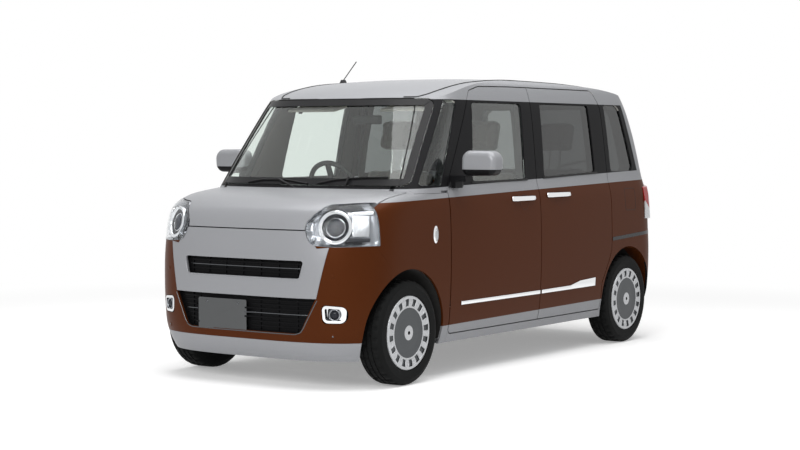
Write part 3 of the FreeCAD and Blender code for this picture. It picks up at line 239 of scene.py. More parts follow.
joins(entry.outputs["Tint"], low.inputs[1])
joins(entry.outputs["Tint"], high.inputs[1])
joins(coarse.outputs["Fac"], swing.inputs["Value"])
joins(low.outputs[0], swing.inputs["To Min"])
joins(high.outputs[0], swing.inputs["To Max"])
joins(entry.outputs["Color"], shaded.inputs[0])
joins(swing.outputs["Result"], shaded.inputs["Scale"])
joins(coarse.outputs["Fac"], dull.inputs["Value"])
joins(dull.outputs["Result"], rough.inputs[0])
joins(entry.outputs["Roughness"], rough.inputs[1])
joins(shaded.outputs[0], leave.inputs["Color"])
joins(rough.outputs[0], leave.inputs["Roughness"])
joins(bump.outputs["Normal"], leave.inputs["Normal"])


def finish(name, colour, roughness, metal=0.0, scale=300, depth=0.1, tint=0.06, coat=0.0, **sockets):
    """A finish whose colour, dullness and surface vary as on the real material."""
    material, tree, output = new_material(name)
    shader = tree.nodes.new("ShaderNodeBsdfPrincipled")
    grain = tree.nodes.new("ShaderNodeGroup")
    grain.node_tree = grain_group
    grain.inputs["Color"].default_value = (*colour, 1)
    grain.inputs["Roughness"].default_value = roughness
    grain.inputs["Scale"].default_value = scale
    grain.inputs["Depth"].default_value = depth
    grain.inputs["Tint"].default_value = tint
    shader.inputs["Metallic"].default_value = metal
    shader.inputs["Coat Weight"].default_value = coat
    shader.inputs["Specular IOR Level"].default_value = 0.2
    for title, value in sockets.items():
        shader.inputs[title.replace("_", " ")].default_value = value
    tree.links.new(grain.outputs["Color"], shader.inputs["Base Color"])
    tree.links.new(grain.outputs["Roughness"], shader.inputs["Roughness"])
    tree.links.new(grain.outputs["Normal"], shader.inputs["Normal"])
    tree.links.new(shader.outputs[0], output.inputs["Surface"])
    return material


# Body paint: a copper-brown lower body and a silver-grey upper body, both metallic under clear lacquer.
# The pillars and window surrounds between the waist and the roof rails are gloss black.
BROWN = (0.072, 0.0180, 0.0040)
SILVER = (0.30, 0.305, 0.32)
PIANO_BLACK = (0.012, 0.012, 0.013)
WAIST_RISE = 0.0244
WAIST_AT_FRONT = 0.967
SILL_RISE = 0.0259
SILL_AT_DOOR = 1.038
SKIRT_TOP = 0.285
SKIRT_RISE = 0.0087
TAIL_LEAN = 0.28
TAIL_AT_RAIL = 1.345
RAIL = 1.515
FRONT_OF_WAIST = 1.32
FRONT_OF_SILL = 0.8
FRONT_OF_SKIRT = 0.9

flake_group, entry, leave = new_group(
    "metallic_flake", [("Color", COLOUR, (0.5, 0.5, 0.5, 1)), ("Tint", FLOAT, 0.1)],
    [("Color", COLOUR), ("Normal", NORMAL)])
made = flake_group.nodes.new
joins = flake_group.links.new
place = made("ShaderNodeTexCoord")
cells = made("ShaderNodeTexVoronoi")
cells.inputs["Scale"].default_value = 1500
wave = made("ShaderNodeTexNoise")
wave.inputs["Scale"].default_value = 110
wave.inputs["Detail"].default_value = 1
bump = made("ShaderNodeBump")
bump.inputs["Strength"].default_value = 0.03
bump.inputs["Distance"].default_value = 0.0005
low = made("ShaderNodeMath")
low.operation = "SUBTRACT"
low.inputs[0].default_value = 1
high = made("ShaderNodeMath")
high.inputs[0].default_value = 1
swing = made("ShaderNodeMapRange")
shaded = made("ShaderNodeVectorMath")
shaded.operation = "SCALE"
joins(place.outputs["Object"], cells.inputs["Vector"])
joins(place.outputs["Object"], wave.inputs["Vector"])
joins(wave.outputs["Fac"], bump.inputs["Height"])
joins(entry.outputs["Tint"], low.inputs[1])
joins(entry.outputs["Tint"], high.inputs[1])
joins(cells.outputs["Color"], swing.inputs["Value"])
joins(low.outputs[0], swing.inputs["To Min"])
joins(high.outputs[0], swing.inputs["To Max"])
joins(entry.outputs["Color"], shaded.inputs[0])
joins(swing.outputs["Result"], shaded.inputs["Scale"])
joins(shaded.outputs[0], leave.inputs["Color"])
joins(bump.outputs["Normal"], leave.inputs["Normal"])


def lacquered(name, colour, metal, roughness):
    """Metallic base coat under clear lacquer, all in one colour."""
    material, tree, output = new_material(name)
    shader = tree.nodes.new("ShaderNodeBsdfPrincipled")
    flake = tree.nodes.new("ShaderNodeGroup")
    flake.node_tree = flake_group
    flake.inputs["Color"].default_value = (*colour, 1)
    shader.inputs["Metallic"].default_value = metal
    shader.inputs["Roughness"].default_value = roughness
    shader.inputs["Coat Weight"].default_value = 0.04
    shader.inputs["Coat Roughness"].default_value = 0.04
    shader.inputs["Specular IOR Level"].default_value = 0.03
    tree.links.new(flake.outputs["Color"], shader.inputs["Base Color"])
    tree.links.new(flake.outputs["Normal"], shader.inputs["Normal"])
    tree.links.new(shader.outputs[0], output.inputs["Surface"])
    return material, tree, flake, shader


brown_paint = lacquered("brown_paint", BROWN, 0.2, 0.38)[0]
silver_paint = lacquered("silver_paint", SILVER, 0.3, 0.36)[0]
gloss_black = lacquered("gloss_black", PIANO_BLACK, 0.0, 0.22)[0]
two_tone, tree, flake, shader = lacquered("two_tone_paint", BROWN, 0.2, 0.38)


def math_node(tree, operation, first, second):
    """Output of one sum in a material, on numbers or on other nodes' outputs."""
    node = tree.nodes.new("ShaderNodeMath")
    node.operation = operation
    for socket, value in zip(node.inputs, (first, second)):
        if isinstance(value, (int, float)):
            socket.default_value = value
        else:
            tree.links.new(value, socket)
    return node.outputs[0]


def mix_colour(tree, mask, first, second):
    """First colour where the mask is 0, second where it is 1."""
    node = tree.nodes.new("ShaderNodeMix")
    node.data_type = "RGBA"
    tree.links.new(mask, node.inputs["Factor"])
    for socket, value in ((node.inputs[6], first), (node.inputs[7], second)):
        if isinstance(value, tuple):
            socket.default_value = (*value, 1)
        else:
            tree.links.new(value, socket)
    return node.outputs[2]


place = tree.nodes.new("ShaderNodeTexCoord")
axes = tree.nodes.new("ShaderNodeSeparateXYZ")
tree.links.new(place.outputs["Object"], axes.inputs[0])
along, up = axes.outputs["Y"], axes.outputs["Z"]
waist = math_node(tree, "MULTIPLY_ADD", along, WAIST_RISE)
waist.node.inputs[2].default_value = WAIST_AT_FRONT + WAIST_RISE * FRONT_OF_WAIST
sill = math_node(tree, "MULTIPLY_ADD", along, SILL_RISE)
sill.node.inputs[2].default_value = SILL_AT_DOOR + SILL_RISE * FRONT_OF_SILL
skirt = math_node(tree, "MULTIPLY_ADD", along, SKIRT_RISE)
skirt.node.inputs[2].default_value = SKIRT_TOP + SKIRT_RISE * FRONT_OF_SKIRT
tail_edge = math_node(tree, "MULTIPLY_ADD", up, -TAIL_LEAN)
tail_edge.node.inputs[2].default_value = TAIL_AT_RAIL + RAIL * TAIL_LEAN
in_skirt = math_node(tree, "LESS_THAN", up, skirt)
over_waist = math_node(tree, "GREATER_THAN", up, waist)
silver_mask = math_node(tree, "MAXIMUM", in_skirt, over_waist)
over_sill = math_node(tree, "GREATER_THAN", up, sill)
under_rail = math_node(tree, "LESS_THAN", up, RAIL)
before_tail = math_node(tree, "LESS_THAN", along, tail_edge)
black_mask = math_node(tree, "MULTIPLY", math_node(tree, "MULTIPLY", over_sill, under_rail), before_tail)
upper = mix_colour(tree, silver_mask, BROWN, SILVER)
whole = mix_colour(tree, black_mask, upper, PIANO_BLACK)
tree.links.new(whole, flake.inputs["Color"])
metal = math_node(tree, "MULTIPLY", math_node(tree, "SUBTRACT", 1.0, black_mask), 0.2)
tree.links.new(metal, shader.inputs["Metallic"])

# Inner faces of the panels: grained trim on the doors and pillars, pale woven lining under the roof.
# Each panel is finished by the side that its faces look to.
trim_grey = finish("door_trim", (0.075, 0.068, 0.062), 0.62, scale=900, depth=0.35)
headlining = finish("headlining", (0.52, 0.50, 0.47), 0.9, scale=1200, depth=0.5, Sheen_Weight=0.3)


def dress_panel(name, faces):
    """Copy of a packed panel, welded along its corners, smooth as pressed steel, finished face by face.

    The finishes come as pairs of a material and a test on a face's middle and normal.
    The first test that passes holds.
    """
    piece = bpy.data.objects.new(name + "_finished", nodes[name].data.copy())
    scene.collection.objects.link(piece)
    piece.data.materials.clear()
    smooth = [corner.vector.copy() for corner in piece.data.corner_normals]
    pick(piece)
    bpy.ops.object.mode_set(mode="EDIT")
    bpy.ops.mesh.select_all(action="SELECT")
    bpy.ops.mesh.remove_doubles(threshold=0.000001)
    bpy.ops.object.mode_set(mode="OBJECT")
    if len(smooth) == len(piece.data.loops):
        piece.data.normals_split_custom_set(smooth)
    else:
        bpy.ops.object.shade_smooth_by_angle(angle=math.radians(30))
        print("welded corners differ on", name)
    for material, test in faces:
        piece.data.materials.append(material)
    for face in piece.data.polygons:
        for index, (material, test) in enumerate(faces):
            if test is None or test(face.center, face.normal):
                face.material_index = index
                break
    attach(piece, nodes[name]["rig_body"])
    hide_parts(name)
    return piece


def inward_side(middle, normal):
    """Faces that look towards the car's middle plane."""
    return normal.x * middle.x < -0.25 * abs(middle.x)


def under_roof(middle, normal):
    """Faces that look down into the cabin from roof height."""
    return normal.z < -0.5 and middle.z > 1.3


shell = dress_panel("body_shell", [
    (headlining, under_roof), (trim_grey, lambda m, n: inward_side(m, n) and m.z > 0.35), (two_tone, None)])
roof = dress_panel("roof_panel", [(headlining, lambda m, n: n.z < -0.3), (silver_paint, None)])
door_shells = {}
for side in ("left", "right"):
    door_shells[side] = dress_panel(f"front_door_{side}", [(trim_grey, inward_side), (two_tone, None)])
sliding = dress_panel("sliding_doors", [(trim_grey, inward_side), (two_tone, None)])
gate = dress_panel("tailgate", [(trim_grey, lambda m, n: n.y < -0.3), (two_tone, None)])
fenders = dress_panel("front_fenders", [(gloss_black, inward_side), (two_tone, None)])
bumper = dress_panel("front_bumper", [(gloss_black, lambda m, n: n.y > 0.4), (brown_paint, None)])
rear_bumper = dress_panel("rear_bumper", [(gloss_black, lambda m, n: n.y < -0.4), (two_tone, None)])
bonnet = dress_panel("bonnet", [(silver_paint, None)])
mask = dress_panel("front_mask", [(silver_paint, None)])
skirt_panel = dress_panel("front_skirt", [(silver_paint, None)])

# Window glass: clear and faintly green in front, dark privacy glass behind the front doors.
# Light for the cabin passes straight through it.


def window_glass(name, tint, bending=1.45):
    """Tinted glass that lets light through without a dark shadow."""
    material, tree, output = new_material(name)
    shader = tree.nodes.new("ShaderNodeBsdfPrincipled")
    shader.inputs["Base Color"].default_value = (*tint, 1)
    shader.inputs["Roughness"].default_value = 0.0
    shader.inputs["IOR"].default_value = bending
    shader.inputs["Transmission Weight"].default_value = 1
    through = tree.nodes.new("ShaderNodeBsdfTransparent")
    through.inputs["Color"].default_value = (*tint, 1)
    paths = tree.nodes.new("ShaderNodeLightPath")
    mixed = tree.nodes.new("ShaderNodeMixShader")
    tree.links.new(paths.outputs["Is Shadow Ray"], mixed.inputs["Fac"])
    tree.links.new(shader.outputs[0], mixed.inputs[1])
    tree.links.new(through.outputs[0], mixed.inputs[2])
    tree.links.new(mixed.outputs[0], output.inputs["Surface"])
    return material


clear_glass = window_glass("clear_glass", (0.86, 0.91, 0.88))
privacy_glass = window_glass("privacy_glass", (0.16, 0.17, 0.17))
for name in ("windscreen", "front_door_glass_left", "front_door_glass_right"):
    dress_panel(name, [(clear_glass, None)])
dress_panel("side_glass", [(privacy_glass, lambda m, n: m.y > 0), (clear_glass, None)])
for name in ("sliding_door_glass", "tailgate_glass"):
    dress_panel(name, [(privacy_glass, None)])

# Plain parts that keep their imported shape: structure, running gear and mouldings get their finishes.
# Steel parts are black dip-coated, castings are rough, the exhaust is dull and faintly straw-coloured.
black_plastic = finish("black_plastic", (0.018, 0.018, 0.019), 0.5, scale=700, depth=0.25)
grille_black = finish("grille_black", (0.006, 0.006, 0.0065), 0.55, scale=700, depth=0.25,
                      Specular_IOR_Level=0.05)
dip_coat = finish("dip_coat", (0.022, 0.022, 0.024), 0.42, metal=0.2, scale=160, depth=0.2)
cast_iron = finish("cast_iron", (0.07, 0.068, 0.066), 0.72, metal=0.4, scale=260, depth=0.6, tint=0.15)
cast_alloy = finish("cast_alloy", (0.42, 0.42, 0.41), 0.5, metal=0.8, scale=320, depth=0.5, tint=0.12)
dull_steel = finish("dull_steel", (0.33, 0.31, 0.28), 0.45, metal=0.85, scale=120, depth=0.25, tint=0.2)
under_coat = finish("under_coat", (0.03, 0.029, 0.028), 0.8, scale=420, depth=0.8, tint=0.12)
plain_finishes = {
    "front_grilles": grille_black, "floor_pan": under_coat, "wheel_arches": under_coat,
        "bulkhead": dip_coat,
    "front_suspension": dip_coat, "front_structure": dip_coat, "radiator": cast_alloy,
        "engine_block": cast_alloy,
    "rear_axle_beam": dip_coat, "fuel_tank": black_plastic, "exhaust": dull_steel, "cowl": black_plastic,
    "front_under_tray": black_plastic, "aerial": black_plastic, "hinge_brackets": dip_coat,
    "knuckle_left": cast_iron, "knuckle_right": cast_iron, "dashboard": trim_grey,
        "steering_column": black_plastic,
    "steering_wheel": black_plastic}
for name, material in plain_finishes.items():
    nodes[name].data.materials.clear()
    nodes[name].data.materials.append(material)


# Weatherstrips and roof mouldings: black rubber along the waist under each window, and a black moulding
# pressed into the ditch down each side of the roof panel.
rubber = finish("rubber", (0.012, 0.012, 0.012), 0.55, scale=500, depth=0.15)


def start_edit(piece):
    """Enter edit mode on one piece."""
    pick(piece)
    bpy.ops.object.mode_set(mode="EDIT")


def end_edit():
    bpy.ops.object.mode_set(mode="OBJECT")


def choose(piece, kind, test):
    """Select the vertices, edges or faces whose middle (and normal, for faces) passes a test."""
    bpy.ops.mesh.select_mode(type=kind)
    bpy.ops.mesh.select_all(action="DESELECT")
    form = bmesh.from_edit_mesh(piece.data)
    if kind == "VERT":
        chosen = [v for v in form.verts if test(v.co)]
    elif kind == "EDGE":
        chosen = [e for e in form.edges if test((e.verts[0].co + e.verts[1].co) / 2)]
    else:
        chosen = [f for f in form.faces if test(f.calc_center_median(), f.normal)]
    for item in chosen:
        item.select_set(True)
    bmesh.update_edit_mesh(piece.data)
    return len(chosen)


def slice_along(piece, axis, step):
    """Cut a sheet across one axis every step, so that it can follow a curved panel."""
    places = [v.co[axis] for v in piece.data.vertices]
    low, high = min(places), max(places)
    square = Vector((axis == 0, axis == 1, axis == 2))
    start_edit(piece)
    for k in range(1, math.ceil((high - low) / step)):
        at = square * (low + (high - low) * k / math.ceil((high - low) / step))
        bpy.ops.mesh.select_all(action="SELECT")
        bpy.ops.mesh.bisect(plane_co=at, plane_no=square)
    end_edit()


def cut_sheet(name, outline, view, standing, radius=0.0, step=0.03):
    """Sheet with rounded corners, drawn in side view (y, z) or front view (x, z), cut into small faces."""
    deselect()
    bpy.ops.mesh.primitive_circle_add(vertices=len(outline), radius=1, fill_type="NGON")
    piece = bpy.context.object
    piece.name = name
    for vertex, (a, b) in zip(piece.data.vertices, outline):
        vertex.co = (standing, a, b) if view == "side" else (a, standing, b)
    if radius:
        start_edit(piece)
        bpy.ops.mesh.select_all(action="SELECT")
        bpy.ops.mesh.bevel(offset=radius, segments=5, affect="VERTICES")
        end_edit()
    slice_along(piece, 1 if view == "side" else 0, step)
    slice_along(piece, 2, step)
    outward = Vector((1, 0, 0)) if view == "side" else Vector((0, math.copysign(1, standing), 0))
    piece.data.update()
    if piece.data.polygons[0].normal.dot(outward) < 0:
        piece.data.flip_normals()
    return piece


def modify(piece, kind, **settings):
    """Add a modifier with its settings and apply it."""
    modifier = piece.modifiers.new(kind.lower(), kind)
    for title, value in settings.items():
        setattr(modifier, title, value)
    pick(piece)
    bpy.ops.object.modifier_apply(modifier=modifier.name)


def press_on(piece, carrier, axis, gap=0.0):
    """Press a sheet along one axis on to the panel that carries it, and leave it a gap proud."""
    outward = Vector(piece.data.polygons[0].normal)
    along = "xyz".index(axis)
    before = [vertex.co[along] for vertex in piece.data.vertices]
    modify(piece, "SHRINKWRAP", target=carrier, wrap_method="PROJECT", use_project_x=axis == "x",
           use_project_y=axis == "y", use_project_z=axis == "z", use_negative_direction=True,
           use_positive_direction=True)
    missed = {k for k, vertex in enumerate(piece.data.vertices) if abs(vertex.co[along] - before[k]) < 1e-6}
    while missed and len(missed) < len(before):
        found = {}
        for edge in piece.data.edges:
            one, other = edge.vertices
            for here, there in ((one, other), (other, one)):
                if here in missed and there not in missed:
                    found.setdefault(here, []).append(piece.data.vertices[there].co[along])
        for k, places in found.items():
            piece.data.vertices[k].co[along] = sum(places) / len(places)
        missed -= set(found)
    if gap:
        piece.data.transform(Matrix.Translation(outward * gap))


def thicken(piece, depth, edge=0.0, segments=2, angle=30):
    """Give a sheet its thickness outward, round its edges and shade it smooth."""
    modify(piece, "SOLIDIFY", thickness=depth, offset=1)
    if edge:
        modify(piece, "BEVEL", width=edge, segments=segments, limit_method="ANGLE",
               angle_limit=math.radians(40))
    pick(piece)
    bpy.ops.object.shade_smooth_by_angle(angle=math.radians(angle))


def mirror_copy(piece):
    """The same piece on the car's other side, with its own mesh."""
    twin = bpy.data.objects.new(piece.name.replace("left", "right"), piece.data.copy())
    scene.collection.objects.link(twin)
    twin.data.transform(Matrix.Scale(-1, 4, (1, 0, 0)))
    twin.data.flip_normals()
    return twin


def fit(piece, body, material):
    """Finish a piece and fix it to the body that carries it."""
    if material is not None:
        piece.data.materials.clear()
        piece.data.materials.append(material)
    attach(piece, body)
    return piece


def fit_pair(piece, body, material):
    """Finish a piece, and its mirror copy on the other side."""
    twin = mirror_copy(piece)
    fit(piece, body, material)
    return piece, fit(twin, body.replace("left", "right"), material)


def strip_points(corners, step=0.03):
    """Points walked along a broken line, a step apart."""
    walked = []
    for start, end in zip(corners, corners[1:]):
        start, end = Vector(start), Vector(end)
        count = max(1, math.ceil((end - start).length / step))
        walked += [start.lerp(end, k / count) for k in range(count)]
    return walked + [Vector(corners[-1])]


def bead(name, points, radius):
    """Round moulding run along a line of points, made a mesh."""
    line = bpy.data.curves.new(name, "CURVE")
    line.dimensions = "3D"
    line.bevel_depth = radius
    line.bevel_resolution = 2
    run = line.splines.new("NURBS")
    run.points.add(len(points) - 1)
    for point, place in zip(run.points, points):
        point.co = (*place, 1)
    run.order_u = 3
    run.use_endpoint_u = True
    line.resolution_u = 3
    line.use_fill_caps = True
    piece = bpy.data.objects.new(name, line)
    scene.collection.objects.link(piece)
    pick(piece)
    bpy.ops.object.convert(target="MESH")
    piece = bpy.context.object
    bpy.ops.object.shade_smooth_by_angle(angle=math.radians(50))
    return piece


def probe(carrier, start, direction):
    """Place where a straight line first meets a panel."""
    hit, place, normal, index = carrier.ray_cast(Vector(start), Vector(direction))
    return place if hit else None


def on_roof(x, y):
    """Place on the roof, or on the body beside it, straight above a point of the plan."""
    for panel in (roof, shell):
        place = probe(panel, (x, y, 2.0), (0, 0, -1))
        if place:
            return place
    return Vector((x, y, 1.5))


ditch_plan = [(0.40, -0.772), (0.478, -0.750), (0.512, -0.690), (0.527, -0.60), (0.53, -0.50), (0.53, 1.33),
              (0.522, 1.375), (0.50, 1.397)]
ditch_line = [on_roof(p.x, p.y) for p in strip_points([(x, y, 0) for x, y in ditch_plan], 0.05)]
ditch = bead("roof_moulding_left", ditch_line, 0.0045)
fit_pair(ditch, "car_body", rubber)

waist_seals = [("front_door_left", "left_door", [(-0.545, 1.050), (0.060, 1.056), (0.060, 1.068),
                                                 (-0.545, 1.062)]),
               ("sliding_doors", "car_body", [(0.245, 1.063), (0.915, 1.083), (0.915, 1.095),
                                              (0.245, 1.075)])]
panels = {"front_door_left": door_shells["left"], "sliding_doors": sliding, "body_shell": shell}
for carrier, body, outline in waist_seals:
    seal = cut_sheet(f"waist_seal_{carrier}_left", outline, "side", 0.9, 0.003, 0.05)
    press_on(seal, panels[carrier], "x")
    thicken(seal, 0.004, 0.001)
    twin = mirror_copy(seal)
    fit(seal, body, rubber)
    fit(twin, body.replace("left", "right"), rubber)

# Windscreen surround: the black ceramic border printed on the glass, and the rubber lip round it.
# The lip is pressed between the glass and its frame.
frit = finish("ceramic_border", (0.008, 0.008, 0.009), 0.3, scale=900, depth=0.05)
BORDER = 0.035
screen_outline = [(-0.648, 1.047), (-0.579, 1.516), (0.579, 1.516), (0.648, 1.047)]
border = cut_sheet("windscreen_border", screen_outline, "front", -1.3, 0.045, 0.04)
start_edit(border)
bpy.ops.mesh.select_all(action="SELECT")
bpy.ops.mesh.inset(thickness=BORDER, use_boundary=True)
bpy.ops.mesh.delete(type="FACE")
end_edit()
glass_panel = bpy.data.objects["windscreen_finished"]
press_on(border, glass_panel, "y", gap=-0.0055)
thicken(border, 0.001)
fit(border, "car_body", frit)
lip_outline = [(-0.60, 1.044), (-0.655, 1.06), (-0.590, 1.50), (-0.56, 1.520), (0.56, 1.520), (0.590, 1.50),
               (0.655, 1.06), (0.60, 1.044)]
lip_points = []
for point in strip_points([(x, 0, z) for x, z in lip_outline], 0.06):
    place = probe(glass_panel, (point.x, -2, point.z), (0, 1, 0))
    if place:
        lip_points.append(place + Vector((0, -0.003, 0)))
lip = bead("windscreen_lip", lip_points, 0.004)
fit(lip, "car_body", rubber)

# Headlamps: a clear cover over a bright bowl, with a projector in a wide chrome ring on the inner side
# and a fluted turn lamp under a light bar on the outer side.
chrome = finish("chrome", (0.78, 0.79, 0.80), 0.07, metal=1.0, scale=60, depth=0.02, tint=0.02)
satin_silver = finish("satin_silver", (0.26, 0.27, 0.285), 0.25, metal=0.85, scale=500, depth=0.06)
lamp_black = finish("lamp_black", (0.02, 0.021, 0.024), 0.25, scale=300, depth=0.05)
lamp_cover = window_glass("lamp_cover", (0.94, 0.95, 0.96), 1.18)
fluted, tree, output = new_material("fluted_lens")
shader = tree.nodes.new("ShaderNodeBsdfPrincipled")
shader.inputs["Base Color"].default_value = (0.50, 0.51, 0.52, 1)
shader.inputs["Metallic"].default_value = 0.7
shader.inputs["Roughness"].default_value = 0.2
place = tree.nodes.new("ShaderNodeTexCoord")
flutes = tree.nodes.new("ShaderNodeTexWave")
flutes.bands_direction = "Y"
flutes.inputs["Scale"].default_value = 55
flutes.inputs["Distortion"].default_value = 0
bump = tree.nodes.new("ShaderNodeBump")
bump.inputs["Strength"].default_value = 0.8
bump.inputs["Distance"].default_value = 0.002
tree.links.new(place.outputs["Object"], flutes.inputs["Vector"])
tree.links.new(flutes.outputs["Fac"], bump.inputs["Height"])
tree.links.new(bump.outputs["Normal"], shader.inputs["Normal"])
tree.links.new(shader.outputs[0], output.inputs["Surface"])


def faces_of(name, label, keep):
    """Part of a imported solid's surface, as an open sheet welded at its corners."""
    piece = bpy.data.objects.new(label, nodes[name].data.copy())
    scene.collection.objects.link(piece)
    piece.data.materials.clear()
    start_edit(piece)
    bpy.ops.mesh.select_all(action="SELECT")
    bpy.ops.mesh.remove_doubles(threshold=0.00001)
    choose(piece, "FACE", lambda m, n: not keep(m, n))
    bpy.ops.mesh.delete(type="FACE")
    end_edit()
    return piece


def faces_front(middle, normal):
    """Faces of a headlamp that look forward and outward."""
    outward = Vector((0.55 * math.copysign(1, middle.x), -0.83, 0.0))
    return normal.dot(outward) > 0.3


cover = faces_of("headlamps", "headlamp_covers", faces_front)
modify(cover, "SOLIDIFY", thickness=0.003, offset=-1)
pick(cover)
bpy.ops.object.shade_smooth_by_angle(angle=math.radians(50))
fit(cover, "car_body", lamp_cover)
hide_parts("headlamps")
bowl = faces_of("headlamps", "headlamp_bowls", lambda m, n: not faces_front(m, n))
bowl.data.flip_normals()
modify(bowl, "SOLIDIFY", thickness=0.0015, offset=-1)
pick(bowl)
bpy.ops.object.shade_smooth_by_angle(angle=math.radians(40))
fit(bowl, "car_body", satin_silver)


def stand(piece, centre, axis, turn=0.0):
    """Move a piece drawn round z to its place, with z along its axis."""
    way = Vector(axis).normalized().to_track_quat("Z", "Y").to_matrix().to_4x4()
    piece.data.transform(Matrix.Translation(Vector(centre)) @ way @ Matrix.Rotation(turn, 4, "Z"))


def turned(name, section, steps=48, low=0.0, high=2 * math.pi):
    """Turned piece: a closed or open section of (radius, height) points spun round z."""
    deselect()
    bpy.ops.mesh.primitive_circle_add(vertices=len(section), radius=1, fill_type="NOTHING")
    piece = bpy.context.object
    piece.name = name
    for vertex, (radius, height) in zip(piece.data.vertices, section):
        vertex.co = (radius, 0, height)
    start_edit(piece)
    bpy.ops.mesh.select_all(action="SELECT")
    bpy.ops.mesh.spin(steps=steps, angle=high - low, center=(0, 0, 0), axis=(0, 0, 1))
    bpy.ops.mesh.select_all(action="SELECT")
    bpy.ops.mesh.remove_doubles(threshold=0.00002)
    bpy.ops.mesh.normals_make_consistent(inside=False)
    end_edit()
    pick(piece)
    bpy.ops.object.shade_smooth_by_angle(angle=math.radians(35))
    return piece


LAMP_AXIS = Vector((0.40, -0.885, 0.235)).normalized()
LAMP_CENTRE = Vector((0.549, -1.606, 0.848)) - LAMP_AXIS * 0.033
ring = turned("headlamp_ring_left", [(0.067, 0.0), (0.067, 0.006), (0.071, 0.013), (0.082, 0.017),
                                     (0.088, 0.014),
                                     (0.090, 0.007), (0.090, -0.004), (0.082, -0.006)], 56)
stand(ring, LAMP_CENTRE, LAMP_AXIS)
fit_pair(ring, "car_body", chrome)
shroud = turned("projector_shroud_left", [(0.067, 0.002), (0.067, 0.008), (0.058, 0.000), (0.052, -0.006),
                                          (0.030, -0.012), (0.030, -0.016), (0.067, -0.016)], 40)
stand(shroud, LAMP_CENTRE, LAMP_AXIS)
fit_pair(shroud, "car_body", lamp_black)
lens = turned("projector_lens_left", [(0.0, 0.016), (0.012, 0.0152), (0.024, 0.0125), (0.034, 0.008),
                                      (0.042, 0.001),
                                      (0.046, -0.006), (0.046, -0.010), (0.0, -0.010)], 40)
stand(lens, LAMP_CENTRE + LAMP_AXIS * 0.002, LAMP_AXIS)
lens_glass = finish("projector_glass", (0.02, 0.022, 0.028), 0.05, scale=40, depth=0.01,
                    Specular_IOR_Level=0.15)
fit_pair(lens, "car_body", lens_glass)
iris = turned("projector_rim_left", [(0.046, -0.004), (0.046, 0.003), (0.0475, 0.0045), (0.050, 0.003),
                                     (0.050, -0.004)])
stand(iris, LAMP_CENTRE, LAMP_AXIS)
fit_pair(iris, "car_body", chrome)

turn_corners = [(0.618, -1.556, 0.906), (0.674, -1.487, 0.904), (0.683, -1.503, 0.802),
                (0.632, -1.571, 0.802)]
for label, corners, depth, material in (
        ("turn_lamp_left", turn_corners, 0.008, fluted),
        ("light_bar_left", [(0.598, -1.567, 0.921), (0.686, -1.464, 0.927), (0.687, -1.468, 0.914),
                            (0.602, -1.571, 0.908)], 0.006, chrome),
        ("lower_fin_left", [(0.605, -1.592, 0.792), (0.690, -1.500, 0.790), (0.690, -1.503, 0.775),
                            (0.600, -1.598, 0.772)], 0.006, lamp_black)):
    deselect()
    bpy.ops.mesh.primitive_plane_add(size=1)
    block = bpy.context.object
    block.name = label
    order = [0, 1, 3, 2]
    for index, corner in zip(order, corners):
        block.data.vertices[index].co = Vector(corner) - LAMP_AXIS * 0.022
    block.data.update()
    if block.data.polygons[0].normal.dot(LAMP_AXIS) < 0:
        block.data.flip_normals()
    start_edit(block)
    bpy.ops.mesh.select_all(action="SELECT")
    bpy.ops.mesh.inset(thickness=0.004, depth=0.003)
    end_edit()
    thicken(block, depth, 0.001)
    fit_pair(block, "car_body", material)

# Fog lamps: a bright bezel flush with the bumper round a deep bowl that holds a small projector.
# The bezel clips into the bumper from behind.
fog_outline = [(0.503, 0.446), (0.620, 0.437), (0.612, 0.355), (0.508, 0.355)]
bezel = cut_sheet("fog_lamp_bezel_left", fog_outline, "front", -1.75, 0.026, 1.0)
start_edit(bezel)
bpy.ops.mesh.select_all(action="SELECT")
bpy.ops.mesh.inset(thickness=0.006)
bpy.ops.mesh.inset(thickness=0.007)
bpy.ops.mesh.inset(thickness=0.004)
bpy.ops.mesh.select_mode(type="VERT")
end_edit()
bowl_edge = [vertex.index for vertex in bezel.data.vertices if vertex.select]
press_on(bezel, nodes["fog_lamps"], "y")
for index in bowl_edge:
    bezel.data.vertices[index].co += Vector((-0.006, 0.020, 0))
modify(bezel, "SOLIDIFY", thickness=0.0015, offset=-1)
pick(bezel)
bpy.ops.object.shade_smooth_by_angle(angle=math.radians(40))
bezels = fit_pair(bezel, "car_body", chrome)
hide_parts("fog_lamps")
FOG_AXIS = Vector((0.32, -0.94, 0)).normalized()
fog_ring = turned("fog_lamp_ring_left", [(0.024, 0.0), (0.024, 0.012), (0.027, 0.015), (0.031, 0.012),
                                         (0.032, 0.0)], 32)
stand(fog_ring, (0.556, -1.612, 0.397), FOG_AXIS)
fit_pair(fog_ring, "car_body", satin_silver)
fog_lens = turned("fog_lamp_lens_left", [(0.0, 0.014), (0.010, 0.0125), (0.018, 0.009), (0.0245, 0.002),
                                         (0.0, 0.002)], 32)
stand(fog_lens, (0.556, -1.612, 0.397), FOG_AXIS)
fit_pair(fog_lens, "car_body", lens_glass)
fog_shade = cut_sheet("fog_lamp_shade_left", [(0.524, 0.426), (0.548, 0.426), (0.540, 0.372),
                                              (0.520, 0.372)], "front",
                      -1.75, 0.004, 0.02)
press_on(fog_shade, nodes["fog_lamps"], "y", gap=-0.018)
thicken(fog_shade, 0.004, 0.001)
fit_pair(fog_shade, "car_body", lamp_black)

# Grilles: black slats and uprights in front of a dark tub, with a fine bright line at mid height
# and a bright lip round the lower edge of each opening.
slat_black = finish("slat_black", (0.004, 0.004, 0.0045), 0.4, scale=600, depth=0.1,
                    Specular_IOR_Level=0.06)
dark_chrome = finish("dark_chrome", (0.10, 0.104, 0.11), 0.25, metal=1.0, scale=60, depth=0.02)


